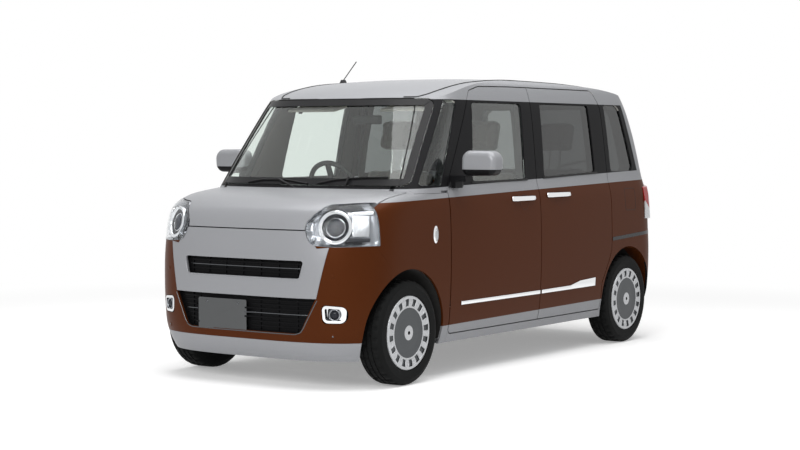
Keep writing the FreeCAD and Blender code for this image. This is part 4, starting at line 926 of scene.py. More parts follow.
def half_span(corners, z):
    """Half width of a grille's opening at one height."""
    (x_low, z_low), (x_high, z_high) = corners
    return x_low + (x_high - x_low) * (z - z_low) / (z_high - z_low)


def beside_plate(middle, normal):
    """Faces that the number plate covers, with a little room round it."""
    return -0.302 < middle.x < 0.044 and middle.z < 0.462


grille_fields = {"upper_grille": ((0.376, 0.578), (0.400, 0.670)),
                 "lower_grille": ((0.386, 0.295), (0.470, 0.477))}
for label, corners in grille_fields.items():
    (x_low, z_low), (x_high, z_high) = corners
    middle = (z_low + z_high) / 2 + 0.004
    levels = [middle]
    pitch = 0.0225
    for k in range(1, 6):
        levels += [middle + k * pitch, middle - k * pitch]
    for k, z in enumerate(levels):
        if not z_low + 0.010 < z < z_high - 0.008:
            continue
        half = half_span(corners, z) - 0.016
        thick = 0.0022 if k == 0 else 0.004
        slat = cut_sheet(f"{label}_slat_{k}", [(-half, z - thick), (half, z - thick), (half, z + thick),
                                               (-half, z + thick)], "front", -1.75, 0, 0.05)
        start_edit(slat)
        choose(slat, "FACE", beside_plate)
        bpy.ops.mesh.delete(type="FACE")
        end_edit()
        press_on(slat, nodes["front_grilles"], "y")
        thicken(slat, 0.008 if k == 0 else 0.007, 0.001)
        fit(slat, "car_body", dark_chrome if k == 0 else slat_black)
    for k in range(-3, 4):
        x = k * 0.118
        post = cut_sheet(f"{label}_upright_{k + 3}", [(x - 0.002, z_low + 0.006),
                                                      (x + 0.002, z_low + 0.006),
                                                      (x + 0.002, z_high - 0.004),
                                                      (x - 0.002, z_high - 0.004)],
                         "front", -1.75, 0, 0.05)
        start_edit(post)
        choose(post, "FACE", beside_plate)
        bpy.ops.mesh.delete(type="FACE")
        end_edit()
        if not post.data.polygons:
            bpy.data.objects.remove(post)
            continue
        press_on(post, nodes["front_grilles"], "y")
        thicken(post, 0.0065, 0.0008)
        fit(post, "car_body", slat_black)

lower_lip = [(-0.478, 0.470), (-0.40, 0.322), (-0.383, 0.300), (-0.35, 0.2895), (0.35, 0.2895),
             (0.383, 0.300),
             (0.40, 0.322), (0.478, 0.470)]
upper_lip = [(-0.402, 0.640), (-0.386, 0.590), (-0.375, 0.578), (-0.355, 0.5735), (0.355, 0.5735),
             (0.375, 0.578),
             (0.386, 0.590), (0.402, 0.640)]
for label, outline, carrier, material in (("lower_grille_lip", lower_lip, bumper, dark_chrome),
                                          ("upper_grille_lip", upper_lip, mask, silver_paint)):
    points = []
    for point in strip_points([(x, 0, z) for x, z in outline], 0.02):
        place = probe(carrier, (point.x, -2, point.z), (0, 1, 0))
        if place:
            points.append(place + Vector((0, 0.0012, 0)))
    fit(bead(label, points, 0.0032), "car_body", material)

# Number plates: blank pressed plates with a raised rim, each held by two screws.
# The front one stands to the car's right of the middle on its bracket, the rear one in the tailgate.
plate_grey = finish("plate_grey", (0.085, 0.088, 0.09), 0.45, scale=400, depth=0.05, tint=0.04)
PLATE_HALF = (0.165, 0.0825)


def number_plate(label, centre, facing, body):
    """Blank plate with a pressed rim and two screw heads, facing along -y or +y."""
    x, y, z = centre
    wide, tall = PLATE_HALF
    corners = [(x - wide, z - tall), (x + wide, z - tall), (x + wide, z + tall), (x - wide, z + tall)]
    plate = cut_sheet(label, corners, "front", y, 0.008, 0.5)
    start_edit(plate)
    bpy.ops.mesh.select_all(action="SELECT")
    bpy.ops.mesh.inset(thickness=0.006)
    bpy.ops.mesh.inset(thickness=0.003)
    bpy.ops.transform.translate(value=(0, -0.0012 * facing, 0))
    end_edit()
    thicken(plate, 0.001, 0.0003)
    fit(plate, body, plate_grey)
    for side in (-1, 1):
        screw = turned(f"{label}_screw_{side + 1}", [(0.0, 0.0026), (0.004, 0.0022), (0.006, 0.0008),
                                                     (0.006, 0.0),
                                                     (0.0, 0.0)], 16)
        stand(screw, (x + side * 0.105, y + 0.0012 * facing, z + 0.0615), (0, facing, 0))
        fit(screw, body, dark_chrome)


number_plate("front_plate", (-0.129, -1.6915, 0.3705), -1, "car_body")

# Parking sensors: small brown discs let into the bumper skin, two a side.
# The lower one has a bright centre.
for label, x, z, radius, material in (("sensor_left", 0.556, 0.593, 0.0105, brown_paint),
                                      ("lower_sensor_left", 0.553, 0.286, 0.009, dark_chrome),
                                      ("lower_sensor_disc_left", 0.553, 0.286, 0.013, brown_paint)):
    place = probe(bumper, (x, -2, z), (0, 1, 0))
    disc = turned(label, [(0.0, 0.0018), (radius * 0.8, 0.0016), (radius, 0.0006), (radius, -0.002),
                          (0.0, -0.002)], 24)
    if label == "lower_sensor_left":
        disc.data.transform(Matrix.Diagonal((0.55, 0.55, 1.6, 1)))
    stand(disc, place, (0.45, -0.89, -0.05))
    fit_pair(disc, "car_body", material)

# Side mouldings: bright strips along the lower doors that widen behind the middle of the rear door.
# They are clipped to the doors and part at the shut line.
moulding_parts = [
    ("front_door_left", "left_door", [(-0.697, 0.389), (0.158, 0.389), (0.158, 0.411), (-0.697, 0.409)]),
    ("sliding_doors", "car_body", [(0.178, 0.389), (0.832, 0.392), (0.832, 0.444), (0.640, 0.436),
                                   (0.520, 0.414),
                                   (0.178, 0.411)])]
for carrier, body, outline in moulding_parts:
    strip = cut_sheet(f"side_moulding_{carrier}_left".replace("_left_left", "_left"), outline, "side",
                      0.9, 0.003, 0.05)
    press_on(strip, panels[carrier], "x")
    thicken(strip, 0.007, 0.003, 3)
    twin = mirror_copy(strip)
    fit(strip, body, chrome)
    fit(twin, body.replace("left", "right"), chrome)

# Door handles: a bright bar that bridges a round finger dish in the door's skin; the dish is painted a
# darker brown than the door, as painted shade in its hollow.
# The bar is moulded plastic with a chromed face, held from inside the door.
handle_places = [("front", "left_door", door_shells["left"], -0.155, 0.106, 0.954),
                 ("rear", "car_body", sliding, 0.248, 0.525, 0.966)]
# The dish's brown is darker than the door's brown: painted shade of the recess.
dish_paint = lacquered("dish_paint", (0.055, 0.016, 0.007), 0.4, 0.4)[0]
for label, body, carrier, y_low, y_high, z in handle_places:
    middle = (y_low + y_high) / 2
    dish = turned(f"handle_dish_{label}_left", [(0.0, -0.004), (0.030, -0.003), (0.043, 0.0002),
                                                (0.047, 0.0012),
                                                (0.050, 0.0002), (0.050, -0.004)], 40)
    dish.data.transform(Matrix.Diagonal((1.0, 0.9, 1, 1)))
    place = probe(carrier, (2, middle + 0.01, z - 0.022), (-1, 0, 0))
    stand(dish, place, (1, 0, 0.08))
    twin = mirror_copy(dish)
    fit(dish, body, dish_paint)
    fit(twin, body.replace("left", "right"), dish_paint)
    bar = cut_sheet(f"door_handle_{label}_left", [(y_low, z - 0.014), (y_high, z - 0.013),
                                                  (y_high, z + 0.013),
                                                  (y_low, z + 0.014)], "side", 0.9, 0.011, 0.02)
    press_on(bar, carrier, "x")
    start_edit(bar)
    choose(bar, "VERT", lambda co: y_low + 0.03 < co.y < y_high - 0.03)
    bpy.ops.transform.translate(value=(0.013, 0, 0))
    end_edit()
    thicken(bar, 0.011, 0.005, 3, 50)
    twin = mirror_copy(bar)
    fit(bar, body, chrome)
    fit(twin, body.replace("left", "right"), chrome)

# Side repeater and fuel lid: an oval clear lamp on a bright base in each front fender, and a square
# lid in the left quarter panel whose edge shows as a fine line.
for label, scale_y, height, material in (("repeater_base_left", 0.047, 0.023, chrome),
                                         ("repeater_lens_left", 0.042, 0.019, fluted)):
    oval = turned(label, [(0.0, 0.008), (0.55, 0.0075), (0.85, 0.0055), (1.0, 0.001), (1.0, -0.004),
                          (0.0, -0.004)], 36)
    oval.data.transform(Matrix.Diagonal((height, scale_y, 1 if material is chrome else 1.35, 1)))
    place = probe(fenders, (2, -0.952, 0.786), (-1, 0, 0))
    stand(oval, place, (1, 0, 0.0))
    fit_pair(oval, "car_body", material)
lid_outline = [(1.235, 0.845), (1.375, 0.845), (1.375, 0.985), (1.235, 0.985)]
lid = cut_sheet("fuel_lid_groove", lid_outline, "side", 0.9, 0.02, 1.0)
start_edit(lid)
bpy.ops.mesh.select_all(action="SELECT")
bpy.ops.mesh.subdivide(number_cuts=2)
bpy.ops.mesh.inset(thickness=0.0024, use_boundary=True)
bpy.ops.mesh.delete(type="FACE")
end_edit()
press_on(lid, shell, "x")
thicken(lid, 0.0006)
fit(lid, "car_body", rubber)

# Sliding-door rail: a dark channel along the quarter panel behind each rear door.
# It carries the door's middle roller.
channel = cut_sheet("sliding_rail_left", [(1.056, 0.660), (1.572, 0.684), (1.572, 0.706), (1.056, 0.682)],
                    "side",
                    0.9, 0.004, 0.05)
press_on(channel, shell, "x")
start_edit(channel)
bpy.ops.mesh.select_all(action="SELECT")
bpy.ops.mesh.inset(thickness=0.003, use_boundary=True)
end_edit()
thicken(channel, 0.0016, 0.0004)
fit_pair(channel, "car_body", lamp_black)

# Door mirrors: a silver cap over a black base and foot, with the glass set in its rear face.
# A black sail under it closes the corner of the door's window.
mirror_shell, tree, flake, shader = lacquered("mirror_shell_paint", SILVER, 0.3, 0.36)
place = tree.nodes.new("ShaderNodeTexCoord")
axes = tree.nodes.new("ShaderNodeSeparateXYZ")
tree.links.new(place.outputs["Object"], axes.inputs[0])
low_mask = math_node(tree, "LESS_THAN", axes.outputs["Z"], 1.132)
tree.links.new(mix_colour(tree, low_mask, SILVER, PIANO_BLACK), flake.inputs["Color"])
mirror_glass = finish("mirror_glass", (0.80, 0.83, 0.85), 0.02, metal=1.0, scale=20, depth=0.0, tint=0.0)
for side, sign in (("left", 1), ("right", -1)):
    head = dress_panel(f"mirror_{side}", [(mirror_shell, None)])
reflector = cut_sheet("mirror_glass_left", [(0.790, 1.118), (0.962, 1.120), (0.966, 1.212),
                                            (0.792, 1.214)], "front",
                      -0.60, 0.022, 0.3)
reflector.data.transform(Matrix.Translation((0, -0.0556, 0)))
reflector.data.flip_normals()
start_edit(reflector)
bpy.ops.mesh.select_all(action="SELECT")
bpy.ops.mesh.inset(thickness=0.004)
bpy.ops.transform.translate(value=(0, -0.0008, 0))
end_edit()
thicken(reflector, 0.0014, 0.0004)
twin = mirror_copy(reflector)
fit(reflector, "left_door", mirror_glass)
fit(twin, "right_door", mirror_glass)
sail = cut_sheet("mirror_sail_left", [(-0.790, 1.032), (-0.640, 1.034), (-0.640, 1.090), (-0.735, 1.090)],
                 "side",
                 0.9, 0.006, 0.03)
press_on(sail, door_shells["left"], "x")
thicken(sail, 0.006, 0.002)
twin = mirror_copy(sail)
fit(sail, "left_door", black_plastic)
fit(twin, "right_door", black_plastic)

# Windscreen wipers: two black arms parked along the foot of the glass, each with its rubber blade.
# Each arm turns on a spindle that stands through the cowl.
GLASS_FOOT = 1.046
wiper_black = finish("wiper_black", (0.014, 0.014, 0.015), 0.38, scale=500, depth=0.1)
for label, pivot_x, blade_ends in (
        ("near", 0.04, ((-0.385, 1.052), (-0.29, 1.068), (-0.12, 1.070), (0.045, 1.050))),
        ("far", 0.280, ((0.110, 1.052), (0.22, 1.074), (0.40, 1.088), (0.530, 1.090)))):
    points = []
    for point in strip_points([(x, 0, z) for x, z in blade_ends], 0.05):
        place = probe(glass_panel, (point.x, -2, max(point.z, GLASS_FOOT)), (0, 1, 0))
        points.append(place + Vector((0, -0.009, point.z - place.z)))
    blade = bead(f"wiper_blade_{label}", points, 0.0055)
    fit(blade, "car_body", rubber)
    spine = bead(f"wiper_spine_{label}", [p + Vector((0, -0.005, 0.003)) for p in points], 0.0035)
    fit(spine, "car_body", wiper_black)
    middle = points[len(points) // 2] + Vector((0, -0.014, 0.006))
    foot = probe(glass_panel, (pivot_x, -2, GLASS_FOOT), (0, 1, 0))
    foot = Vector((pivot_x, foot.y - 0.012, 0.985))
    arm = bead(f"wiper_arm_{label}", [foot, foot + Vector((0, 0.0, 0.032)),
                                      foot.lerp(middle, 0.35) + Vector((0, -0.002, 0.006)),
                                      foot.lerp(middle, 0.7) + Vector((0, -0.003, 0.004)), middle], 0.006)
    fit(arm, "car_body", wiper_black)
    cap = turned(f"wiper_pivot_{label}", [(0.0, 0.016), (0.010, 0.015), (0.014, 0.008), (0.015, -0.03),
                                          (0.0, -0.03)], 24)
    stand(cap, foot + Vector((0, 0, 0.004)), (0, -0.35, 0.94))
    fit(cap, "car_body", wiper_black)

# Tyres: radial road tyres with three ring grooves, cross cuts at the shoulders and a fine rib on each wall.
# Moulded rubber, seated on the steel rims by their beads.
tread_rubber = finish("tread_rubber", (0.0065, 0.0068, 0.0068), 0.7, scale=900, depth=0.35, tint=0.12,
                      Specular_IOR_Level=0.1)
WHEEL_PLACES = {"front_left": (0.651, -1.1925), "front_right": (-0.651, -1.1925),
                "rear_left": (0.651, 1.2675), "rear_right": (-0.651, 1.2675)}
WHEEL_HEIGHT = 0.2785
wall_section = [(0.183, 0.060), (0.188, 0.066), (0.196, 0.0705), (0.205, 0.0735), (0.2075, 0.0752),
                (0.210, 0.0748),
                (0.226, 0.0775), (0.243, 0.0765), (0.2455, 0.0768), (0.248, 0.0752), (0.258, 0.0725),
                (0.266, 0.0685),
                (0.2715, 0.0640), (0.2755, 0.0580), (0.2775, 0.0500), (0.2780, 0.0345), (0.2735, 0.0340),
                (0.2735, 0.0265), (0.2780, 0.0260), (0.2783, 0.0045), (0.2738, 0.0040)]
tyre_section = wall_section + [(radius, -side) for radius, side in reversed(wall_section)]
tyre_steps = 96
tyre = turned("tyre_pattern", tyre_section, tyre_steps)
start_edit(tyre)


def shoulder_cut(middle, normal):
    """Every third face round the tread's shoulders, between the outer groove and the wall."""
    turn = math.floor((math.atan2(middle.y, middle.x) + math.pi) / (2 * math.pi) * tyre_steps)
    radius = math.hypot(middle.x, middle.y)
    return turn % 3 == 0 and radius > 0.2700 and 0.0345 < abs(middle.z) < 0.066


def middle_cut(middle, normal):
    """Every fourth face of the two middle ribs, staggered from rib to rib."""
    turn = math.floor((math.atan2(middle.y, middle.x) + math.pi) / (2 * math.pi) * tyre_steps)
    on_middle_rib = math.hypot(middle.x, middle.y) > 0.2775 and abs(middle.z) < 0.026
    return (turn + (1 if middle.z > 0 else 2)) % 4 == 0 and on_middle_rib


for test, depth in ((shoulder_cut, -0.005), (middle_cut, -0.003)):
    choose(tyre, "FACE", test)
    bpy.ops.mesh.inset(thickness=0.0025)
    bpy.ops.transform.shrink_fatten(value=depth)
end_edit()
tyre.data.materials.append(tread_rubber)

# Wheel caps: silver plastic covers with sixteen windows between scooped spokes, a dark satin disc
# inside a fine bright ring, and a plain centre. They clip over the steel rims.
ring_silver = finish("cap_silver", (0.52, 0.53, 0.545), 0.3, metal=0.35, scale=900, depth=0.05)
disc_grey = finish("cap_disc_grey", (0.075, 0.08, 0.085), 0.38, metal=0.3, scale=900, depth=0.06)
barrel_black = finish("rim_black", (0.010, 0.010, 0.011), 0.5, scale=400, depth=0.15)
drum_iron = finish("brake_drum_iron", (0.05, 0.048, 0.046), 0.6, metal=0.5, scale=300, depth=0.5, tint=0.15)
cap_section = [(0.0, 0.0766), (0.020, 0.0765), (0.034, 0.0760), (0.0405, 0.0745), (0.0425, 0.0715),
               (0.060, 0.0718),
               (0.100, 0.0728), (0.126, 0.0734), (0.1325, 0.0736), (0.1345, 0.0758), (0.1365, 0.0765),
               (0.1385, 0.0757), (0.1420, 0.0735), (0.1540, 0.0772), (0.1680, 0.0785), (0.1800, 0.0775),
               (0.1860, 0.0772), (0.1935, 0.0750), (0.1958, 0.0715), (0.1960, 0.0680)]
cap_steps = 128
cap = turned("cap_pattern", cap_section, cap_steps)
start_edit(cap)


def window_face(middle, normal):
    """Two of each four slices between the ring round the disc and the outer rim."""
    turn = math.floor((math.atan2(middle.y, middle.x) + math.pi) / (2 * math.pi) * cap_steps)
    return turn % 8 < 4 and 0.1420 < math.hypot(middle.x, middle.y) < 0.1820


choose(cap, "FACE", window_face)
bpy.ops.mesh.delete(type="FACE")
choose(cap, "FACE", lambda m, n: 0.1540 < math.hypot(m.x, m.y) < 0.1800)
bpy.ops.mesh.inset(thickness=0.0035, use_individual=False)
bpy.ops.transform.translate(value=(0, 0, -0.0035))
end_edit()
for material in (ring_silver, disc_grey):
    cap.data.materials.append(material)
for face in cap.data.polygons:
    face.material_index = 1 if 0.0425 < math.hypot(face.center.x, face.center.y) < 0.1325 else 0
if sum(face.normal.z for face in cap.data.polygons) < 0:
    cap.data.flip_normals()
modify(cap, "SOLIDIFY", thickness=0.003, offset=-1)
modify(cap, "BEVEL", width=0.0012, segments=1, limit_method="ANGLE", angle_limit=math.radians(50))
pick(cap)
bpy.ops.object.shade_smooth_by_angle(angle=math.radians(35))
rim = turned("rim_pattern", [(0.183, 0.066), (0.186, 0.062), (0.176, 0.056), (0.168, 0.034),
                             (0.150, 0.026), (0.060, 0.022),
                             (0.016, 0.024), (0.016, 0.012), (0.060, 0.010), (0.150, 0.014),
                             (0.164, 0.010), (0.168, -0.040),
                             (0.176, -0.056), (0.186, -0.062), (0.183, -0.066), (0.173, -0.060),
                             (0.163, -0.040),
                             (0.160, 0.004)], 64)
rim.data.materials.append(barrel_black)
for corner, (x, y) in WHEEL_PLACES.items():
    sign = math.copysign(1, x)
    stand_up = Matrix.Translation((x, y, WHEEL_HEIGHT)) @ Matrix.Rotation(sign * math.pi / 2, 4, "Y")
    for pattern, label in ((tyre, "tyre"), (cap, "wheel_cap"), (rim, "rim")):
        copy = bpy.data.objects.new(f"{label}_{corner}_finished", pattern.data.copy())
        scene.collection.objects.link(copy)
        copy.data.transform(stand_up)
        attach(copy, f"{corner}_wheel")
        if label == "tyre":
            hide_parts(f"tyre_{corner}")
        elif label == "rim":
            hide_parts(f"wheel_{corner}")
for pattern in (tyre, cap, rim):
    bpy.data.objects.remove(pattern)

# Brake drums: iron drums with a raised band inside the rims.
# They are held to the knuckles in front and to the rear axle behind.
drum = turned("brake_drum_left", [(0.020, 0.006), (0.088, 0.006), (0.092, 0.000), (0.092, -0.010),
                                  (0.096, -0.012),
                                  (0.096, -0.016), (0.092, -0.018), (0.092, -0.034), (0.020, -0.034)], 48)
for corner, (x, y) in WHEEL_PLACES.items():
    sign = math.copysign(1, x)
    copy = bpy.data.objects.new(f"brake_drum_{corner}", drum.data.copy())
    scene.collection.objects.link(copy)
    copy.data.transform(Matrix.Translation((x, y, WHEEL_HEIGHT)) @ Matrix.Rotation(sign * math.pi / 2, 4,
                                                                                   "Y"))
    body = corner.split("_")[1] + "_knuckle" if corner.startswith("front") else "car_body"
    fit(copy, body, drum_iron)
bpy.data.objects.remove(drum)

# Tail lamps: red outer lenses wrapped round the rear corners, with a clear turn and reversing lens below.
# Each is one closed housing let into the quarter panel, with a raised rim round each lens.
red_lens = finish("red_lens", (0.33, 0.006, 0.008), 0.12, coat=0.5, scale=80, depth=0.03)
red_glow = finish("red_lens_bright", (0.50, 0.02, 0.02), 0.18, coat=0.5, scale=80, depth=0.03)
clear_lens = finish("clear_lens", (0.55, 0.56, 0.57), 0.15, metal=0.5, coat=0.4, scale=300, depth=0.1)


def tail_red(middle, normal):
    """Faces above the joint between the red and the clear lens."""
    return middle.z > 0.858


tail = dress_panel("tail_lamps", [(red_lens, tail_red), (clear_lens, None)])
for label, low, high, material in (("stop_ring_left", 0.878, 0.952, red_glow),
                                   ("turn_ring_left", 0.786, 0.838, clear_lens)):
    ring_face = cut_sheet(label, [(0.632, low), (0.702, low), (0.702, high), (0.632, high)], "front", 1.8,
                          0.014, 1.0)
    start_edit(ring_face)
    bpy.ops.mesh.select_all(action="SELECT")
    bpy.ops.mesh.inset(thickness=0.012)
    bpy.ops.mesh.delete(type="FACE")
    end_edit()
    press_on(ring_face, tail, "y")
    thicken(ring_face, 0.003, 0.001)
    fit_pair(ring_face, "car_body", material)

# Tailgate: a bright handle bar over the plate's recess, the blank plate, the wiper and the high stop lamp.
# The bar and lamp clip to the panel, and the wiper stands on its spindle through it.
gate_bar = cut_sheet("tailgate_bar", [(-0.30, 0.892), (0.30, 0.892), (0.30, 0.922), (-0.30, 0.922)],
                     "front", 1.9, 0.008, 0.05)
press_on(gate_bar, gate, "y")
thicken(gate_bar, 0.014, 0.005, 3)
fit(gate_bar, "tailgate", chrome)
for side in (-1, 1):
    lamp = cut_sheet(f"plate_lamp_{side + 1}", [(side * 0.12 - 0.025, 0.876), (side * 0.12 + 0.025, 0.876),
                                                (side * 0.12 + 0.025, 0.889),
                                                (side * 0.12 - 0.025, 0.889)], "front",
                     1.9, 0.003, 0.05)
    press_on(lamp, gate, "y")
    thicken(lamp, 0.007, 0.002)
    fit(lamp, "tailgate", clear_lens)
plate_spot = probe(gate, (0, 3, 0.79), (0, -1, 0))
number_plate("rear_plate", (0.0, plate_spot.y + 0.006, 0.79), 1, "tailgate")
stop_lamp = cut_sheet("high_stop_lamp", [(-0.13, 1.508), (0.13, 1.508), (0.13, 1.524), (-0.13, 1.524)],
                      "front", 1.9,
                      0.004, 0.05)
press_on(stop_lamp, gate, "y")
thicken(stop_lamp, 0.006, 0.002)
fit(stop_lamp, "tailgate", red_lens)
rear_glass = bpy.data.objects["tailgate_glass_finished"]
sweep = [(0.0, 1.105), (0.10, 1.128), (0.22, 1.150), (0.33, 1.160)]
sweep_points = []
for point in strip_points([(x, 0, z) for x, z in sweep], 0.05):
    place = probe(rear_glass, (point.x, 3, point.z), (0, -1, 0))
    if place:
        sweep_points.append(place + Vector((0, 0.009, 0)))
if len(sweep_points) > 2:
    fit(bead("rear_wiper_blade", sweep_points, 0.005), "tailgate", rubber)
    fit(bead("rear_wiper_arm", [sweep_points[0] + Vector((0, 0.004, -0.04))] +
             [p + Vector((0, 0.009, 0.004)) for p in sweep_points[:-2]], 0.006), "tailgate", wiper_black)
hub_spot = probe(gate, (0, 3, 1.045), (0, -1, 0))
hub = turned("rear_wiper_hub", [(0.0, 0.024), (0.014, 0.022), (0.020, 0.014), (0.022, -0.004),
                                (0.0, -0.004)], 28)
stand(hub, hub_spot, (0, 1, 0.05))
fit(hub, "tailgate", wiper_black)

# Rear bumper: two round-cornered red reflectors low at its sides and a grained strip in two halves.
# The pieces are pressed on its outer face.
for label, outline, depth, material, name in (
        ("rear_reflector_left", [(0.50, 0.352), (0.64, 0.352), (0.64, 0.376), (0.50, 0.376)], 0.003,
         red_lens, "red_lens"),
        ("rear_lower_strip_left", [(0.02, 0.215), (0.55, 0.215), (0.55, 0.262), (0.02, 0.262)], 0.003,
         black_plastic,
         "black_plastic")):
    patch = cut_sheet(label, outline, "front", 1.9, 0.006, 0.05)
    press_on(patch, rear_bumper, "y")
    thicken(patch, depth, 0.001)
    fit_pair(patch, "car_body", material)

# Seats: woven charcoal covers over foam, each front seat with a cushion, a back and a headrest on two
# steel posts, and a rear bench in the same cloth. The covers swell between their edges as sewn ones do.
cloth_group, entry, leave = new_group(
    "cloth_weave", [("Color", COLOUR, (0.1, 0.1, 0.1, 1)), ("Scale", FLOAT, 320)],
        [("Color", COLOUR), ("Normal", NORMAL)])
made = cloth_group.nodes.new
joins = cloth_group.links.new
place = made("ShaderNodeTexCoord")
across = made("ShaderNodeTexWave")
across.bands_direction = "X"
along_threads = made("ShaderNodeTexWave")
along_threads.bands_direction = "Z"
threads = made("ShaderNodeMath")
threads.operation = "MULTIPLY"
weave_bump = made("ShaderNodeBump")
weave_bump.inputs["Strength"].default_value = 0.35
weave_bump.inputs["Distance"].default_value = 0.0008
fade = made("ShaderNodeMapRange")
fade.inputs["To Min"].default_value = 0.8
fade.inputs["To Max"].default_value = 1.15
woven = made("ShaderNodeVectorMath")
woven.operation = "SCALE"
for wave in (across, along_threads):
    wave.inputs["Distortion"].default_value = 0.4
    joins(place.outputs["Object"], wave.inputs["Vector"])
    joins(entry.outputs["Scale"], wave.inputs["Scale"])
joins(across.outputs["Fac"], threads.inputs[0])
joins(along_threads.outputs["Fac"], threads.inputs[1])
joins(threads.outputs[0], weave_bump.inputs["Height"])
joins(threads.outputs[0], fade.inputs["Value"])
joins(entry.outputs["Color"], woven.inputs[0])
joins(fade.outputs["Result"], woven.inputs["Scale"])
joins(woven.outputs[0], leave.inputs["Color"])
joins(weave_bump.outputs["Normal"], leave.inputs["Normal"])
seat_cloth, tree, output = new_material("seat_cloth")
shader = tree.nodes.new("ShaderNodeBsdfPrincipled")
weave = tree.nodes.new("ShaderNodeGroup")
weave.node_tree = cloth_group
weave.inputs["Color"].default_value = (0.085, 0.074, 0.066, 1)
shader.inputs["Roughness"].default_value = 0.9
shader.inputs["Sheen Weight"].default_value = 0.3
shader.inputs["Specular IOR Level"].default_value = 0.2
tree.links.new(weave.outputs["Color"], shader.inputs["Base Color"])
tree.links.new(weave.outputs["Normal"], shader.inputs["Normal"])
tree.links.new(shader.outputs[0], output.inputs["Surface"])


def cushion(label, centre, size, lean, swell):
    """Padded piece: a rounded block with a sewn channel on each side, swollen by the cloth simulation."""
    deselect()
    bpy.ops.mesh.primitive_cube_add(size=1)
    pad = bpy.context.object
    pad.name = label
    pad.data.transform(Matrix.Diagonal((*size, 1)))
    modify(pad, "BEVEL", width=min(size) * 0.36, segments=4)
    modify(pad, "REMESH", mode="VOXEL", voxel_size=max(size) / 60)
    rest = [vertex.co.copy() for vertex in pad.data.vertices]
    cloth = pad.modifiers.new("cloth", "CLOTH")
    cloth.settings.use_pressure = True
    cloth.settings.uniform_pressure_force = 4
    cloth.settings.effector_weights.gravity = 0
    cloth.point_cache.frame_start = 1
    cloth.point_cache.frame_end = 20
    for moment in range(1, 21):
        scene.frame_set(moment)
    pick(pad)
    bpy.ops.object.modifier_apply(modifier=cloth.name)
    scene.frame_set(1)
    for vertex, start in zip(pad.data.vertices, rest):
        moved = vertex.co - start
        if moved.length > swell:
            vertex.co = start + moved.normalized() * swell
    thin = size.index(min(size))
    long = 0 if thin != 0 else 1
    for vertex in pad.data.vertices:
        outer = abs(vertex.co[long]) / (size[long] / 2)
        groove = math.exp(-((outer - 0.55) / 0.05) ** 2)
        vertex.co[thin] *= 1 - 0.09 * groove
    modify(pad, "SUBSURF", levels=1, render_levels=1)
    pick(pad)
    bpy.ops.object.shade_smooth()
    pad.data.transform(Matrix.Translation(Vector(centre)) @ Matrix.Rotation(lean, 4, "X"))
    fit(pad, "car_body", seat_cloth)
    return pad


def copy_to_right(pad):
    """The same pad on the car's right side."""
    twin = mirror_copy(pad)
    twin.name = pad.name.replace("left", "right")
    fit(twin, "car_body", seat_cloth)
    return twin


BACK_LEAN = math.radians(-14)
front_cushion = cushion("front_seat_cushion_left", (0.300, -0.150, 0.545), (0.475, 0.515, 0.125),
                        math.radians(3), 0.012)
front_back = cushion("front_seat_back_left", (0.300, 0.155, 0.850), (0.475, 0.105, 0.520), BACK_LEAN, 0.012)
front_rest = cushion("front_headrest_left", (0.300, 0.188, 1.317), (0.235, 0.085, 0.175), BACK_LEAN, 0.006)
bench_cushion = cushion("rear_bench_cushion", (0.0, 0.795, 0.555), (1.050, 0.450, 0.120), math.radians(2),
                        0.012)
cushion("rear_bench_back", (0.0, 1.015, 0.880), (1.050, 0.100, 0.480), BACK_LEAN, 0.012)
rear_rest = cushion("rear_headrest_left", (0.300, 1.096, 1.310), (0.235, 0.080, 0.175), BACK_LEAN, 0.006)
for pad in (front_cushion, front_back, front_rest, rear_rest):
    copy_to_right(pad)
seat_steel = finish("seat_post_steel", (0.45, 0.45, 0.45), 0.25, metal=1.0, scale=200, depth=0.05)
for y_foot, y_top in ((0.165, 0.190), (1.060, 1.090)):
    for x in (0.262, 0.338):
        post = bead(f"headrest_post_{'front' if y_foot < 1 else 'rear'}_{'a' if x < 0.3 else 'b'}_left",
                    [(x, y_foot, 1.060), (x, (y_foot + y_top) / 2, 1.16), (x, y_top, 1.250)], 0.006)
        fit_pair(post, "car_body", seat_steel)
for x in (0.300, -0.300):
    deselect()
    bpy.ops.mesh.primitive_cube_add(size=1)
    frame_box = bpy.context.object
    frame_box.name = f"front_seat_frame_{'left' if x > 0 else 'right'}"
    frame_box.data.transform(Matrix.Translation((x, -0.150, 0.425)) @ Matrix.Diagonal((0.36, 0.42, 0.13,
                                                                                       1)))
    modify(frame_box, "BEVEL", width=0.02, segments=3)
    pick(frame_box)
    bpy.ops.object.shade_smooth_by_angle(angle=math.radians(40))
    fit(frame_box, "car_body", black_plastic)
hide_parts("front_seats")
deselect()
bpy.ops.mesh.primitive_cube_add(size=1)
bench_base = bpy.context.object
bench_base.name = "rear_bench_base"
bench_base.data.transform(Matrix.Translation((0.0, 0.800, 0.440)) @ Matrix.Diagonal((0.96, 0.38, 0.12, 1)))
modify(bench_base, "BEVEL", width=0.02, segments=3)
fit(bench_base, "car_body", black_plastic)
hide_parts("rear_seat")

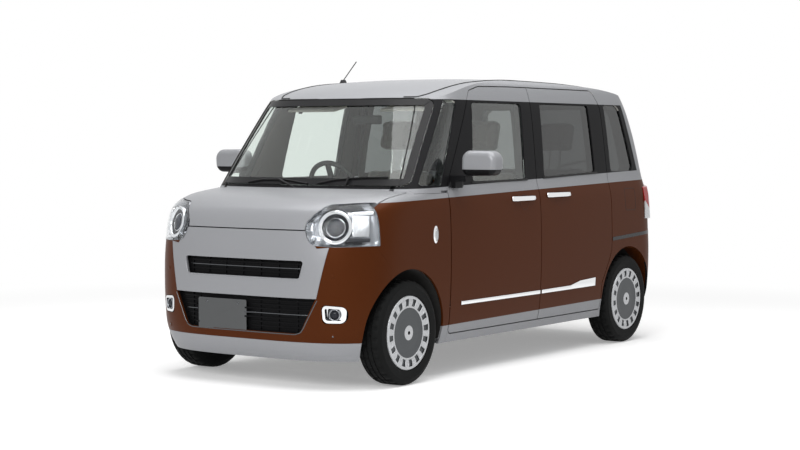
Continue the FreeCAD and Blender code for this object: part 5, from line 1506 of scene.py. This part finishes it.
# Cabin fittings: a meter hood, a centre panel and a band on the dashboard, air outlets, the wheel's centre
# pad, the sun visors, the inner mirror and armrests on the front doors, all grained plastic, clipped on.
fitting_brown = finish("fitting_brown", (0.09, 0.055, 0.035), 0.55, scale=800, depth=0.3)
fitting_black = finish("fitting_black", (0.015, 0.015, 0.016), 0.45, scale=800, depth=0.25)
pale_trim = finish("pale_trim", (0.42, 0.39, 0.35), 0.7, scale=1000, depth=0.3)
for label, centre, size, lean, edge, material, body in (
        ("meter_hood", (-0.30, -0.80, 1.005), (0.34, 0.16, 0.075), -0.15, 0.028, fitting_black, "car_body"),
        ("centre_panel", (0.0, -0.742, 0.925), (0.25, 0.035, 0.15), -0.35, 0.012, fitting_black,
         "car_body"),
        ("dash_band_left", (0.345, -0.722, 0.868), (0.44, 0.022, 0.055), -0.30, 0.009, fitting_brown,
         "car_body"),
        ("sun_visor_left", (0.33, -0.60, 1.470), (0.34, 0.13, 0.016), 0.20, 0.007, pale_trim, "car_body"),
        ("sun_visor_right", (-0.33, -0.60, 1.470), (0.34, 0.13, 0.016), 0.20, 0.007, pale_trim, "car_body"),
        ("inner_mirror", (0.0, -0.560, 1.405), (0.20, 0.026, 0.052), 0.12, 0.011, fitting_black,
         "car_body"),
        ("wheel_pad", (-0.300, -0.489, 0.998), (0.12, 0.100, 0.030), 0.0, 0.013, fitting_black, "steering"),
        ("armrest_left", (0.625, -0.30, 0.800), (0.060, 0.38, 0.050), 0.04, 0.018, fitting_brown,
         "left_door"),
        ("armrest_right", (-0.625, -0.30, 0.800), (0.060, 0.38, 0.050), 0.04, 0.018, fitting_brown,
         "right_door")):
    deselect()
    bpy.ops.mesh.primitive_cube_add(size=1)
    box = bpy.context.object
    box.name = label
    box.data.transform(Matrix.Diagonal((*size, 1)))
    modify(box, "BEVEL", width=edge, segments=4)
    pick(box)
    bpy.ops.object.shade_smooth_by_angle(angle=math.radians(40))
    turn = -math.radians(65) if label == "wheel_pad" else lean
    box.data.transform(Matrix.Translation(Vector(centre)) @ Matrix.Rotation(turn, 4, "X"))
    fit(box, body, material)
stem = bead("inner_mirror_stem", [(0, -0.560, 1.425), (0, -0.585, 1.455), (0, -0.600, 1.480)], 0.006)
fit(stem, "car_body", fitting_black)
for x in (-0.52, 0.52, -0.075, 0.075):
    outlet = turned(f"air_outlet_{x}", [(0.026, 0.0), (0.026, 0.006), (0.030, 0.010), (0.034, 0.007),
                                        (0.035, 0.0)], 28)
    stand(outlet, (x, -0.715 if abs(x) > 0.2 else -0.722, 0.935), (0, 0.92, 0.38))
    fit(outlet, "car_body", satin_silver)
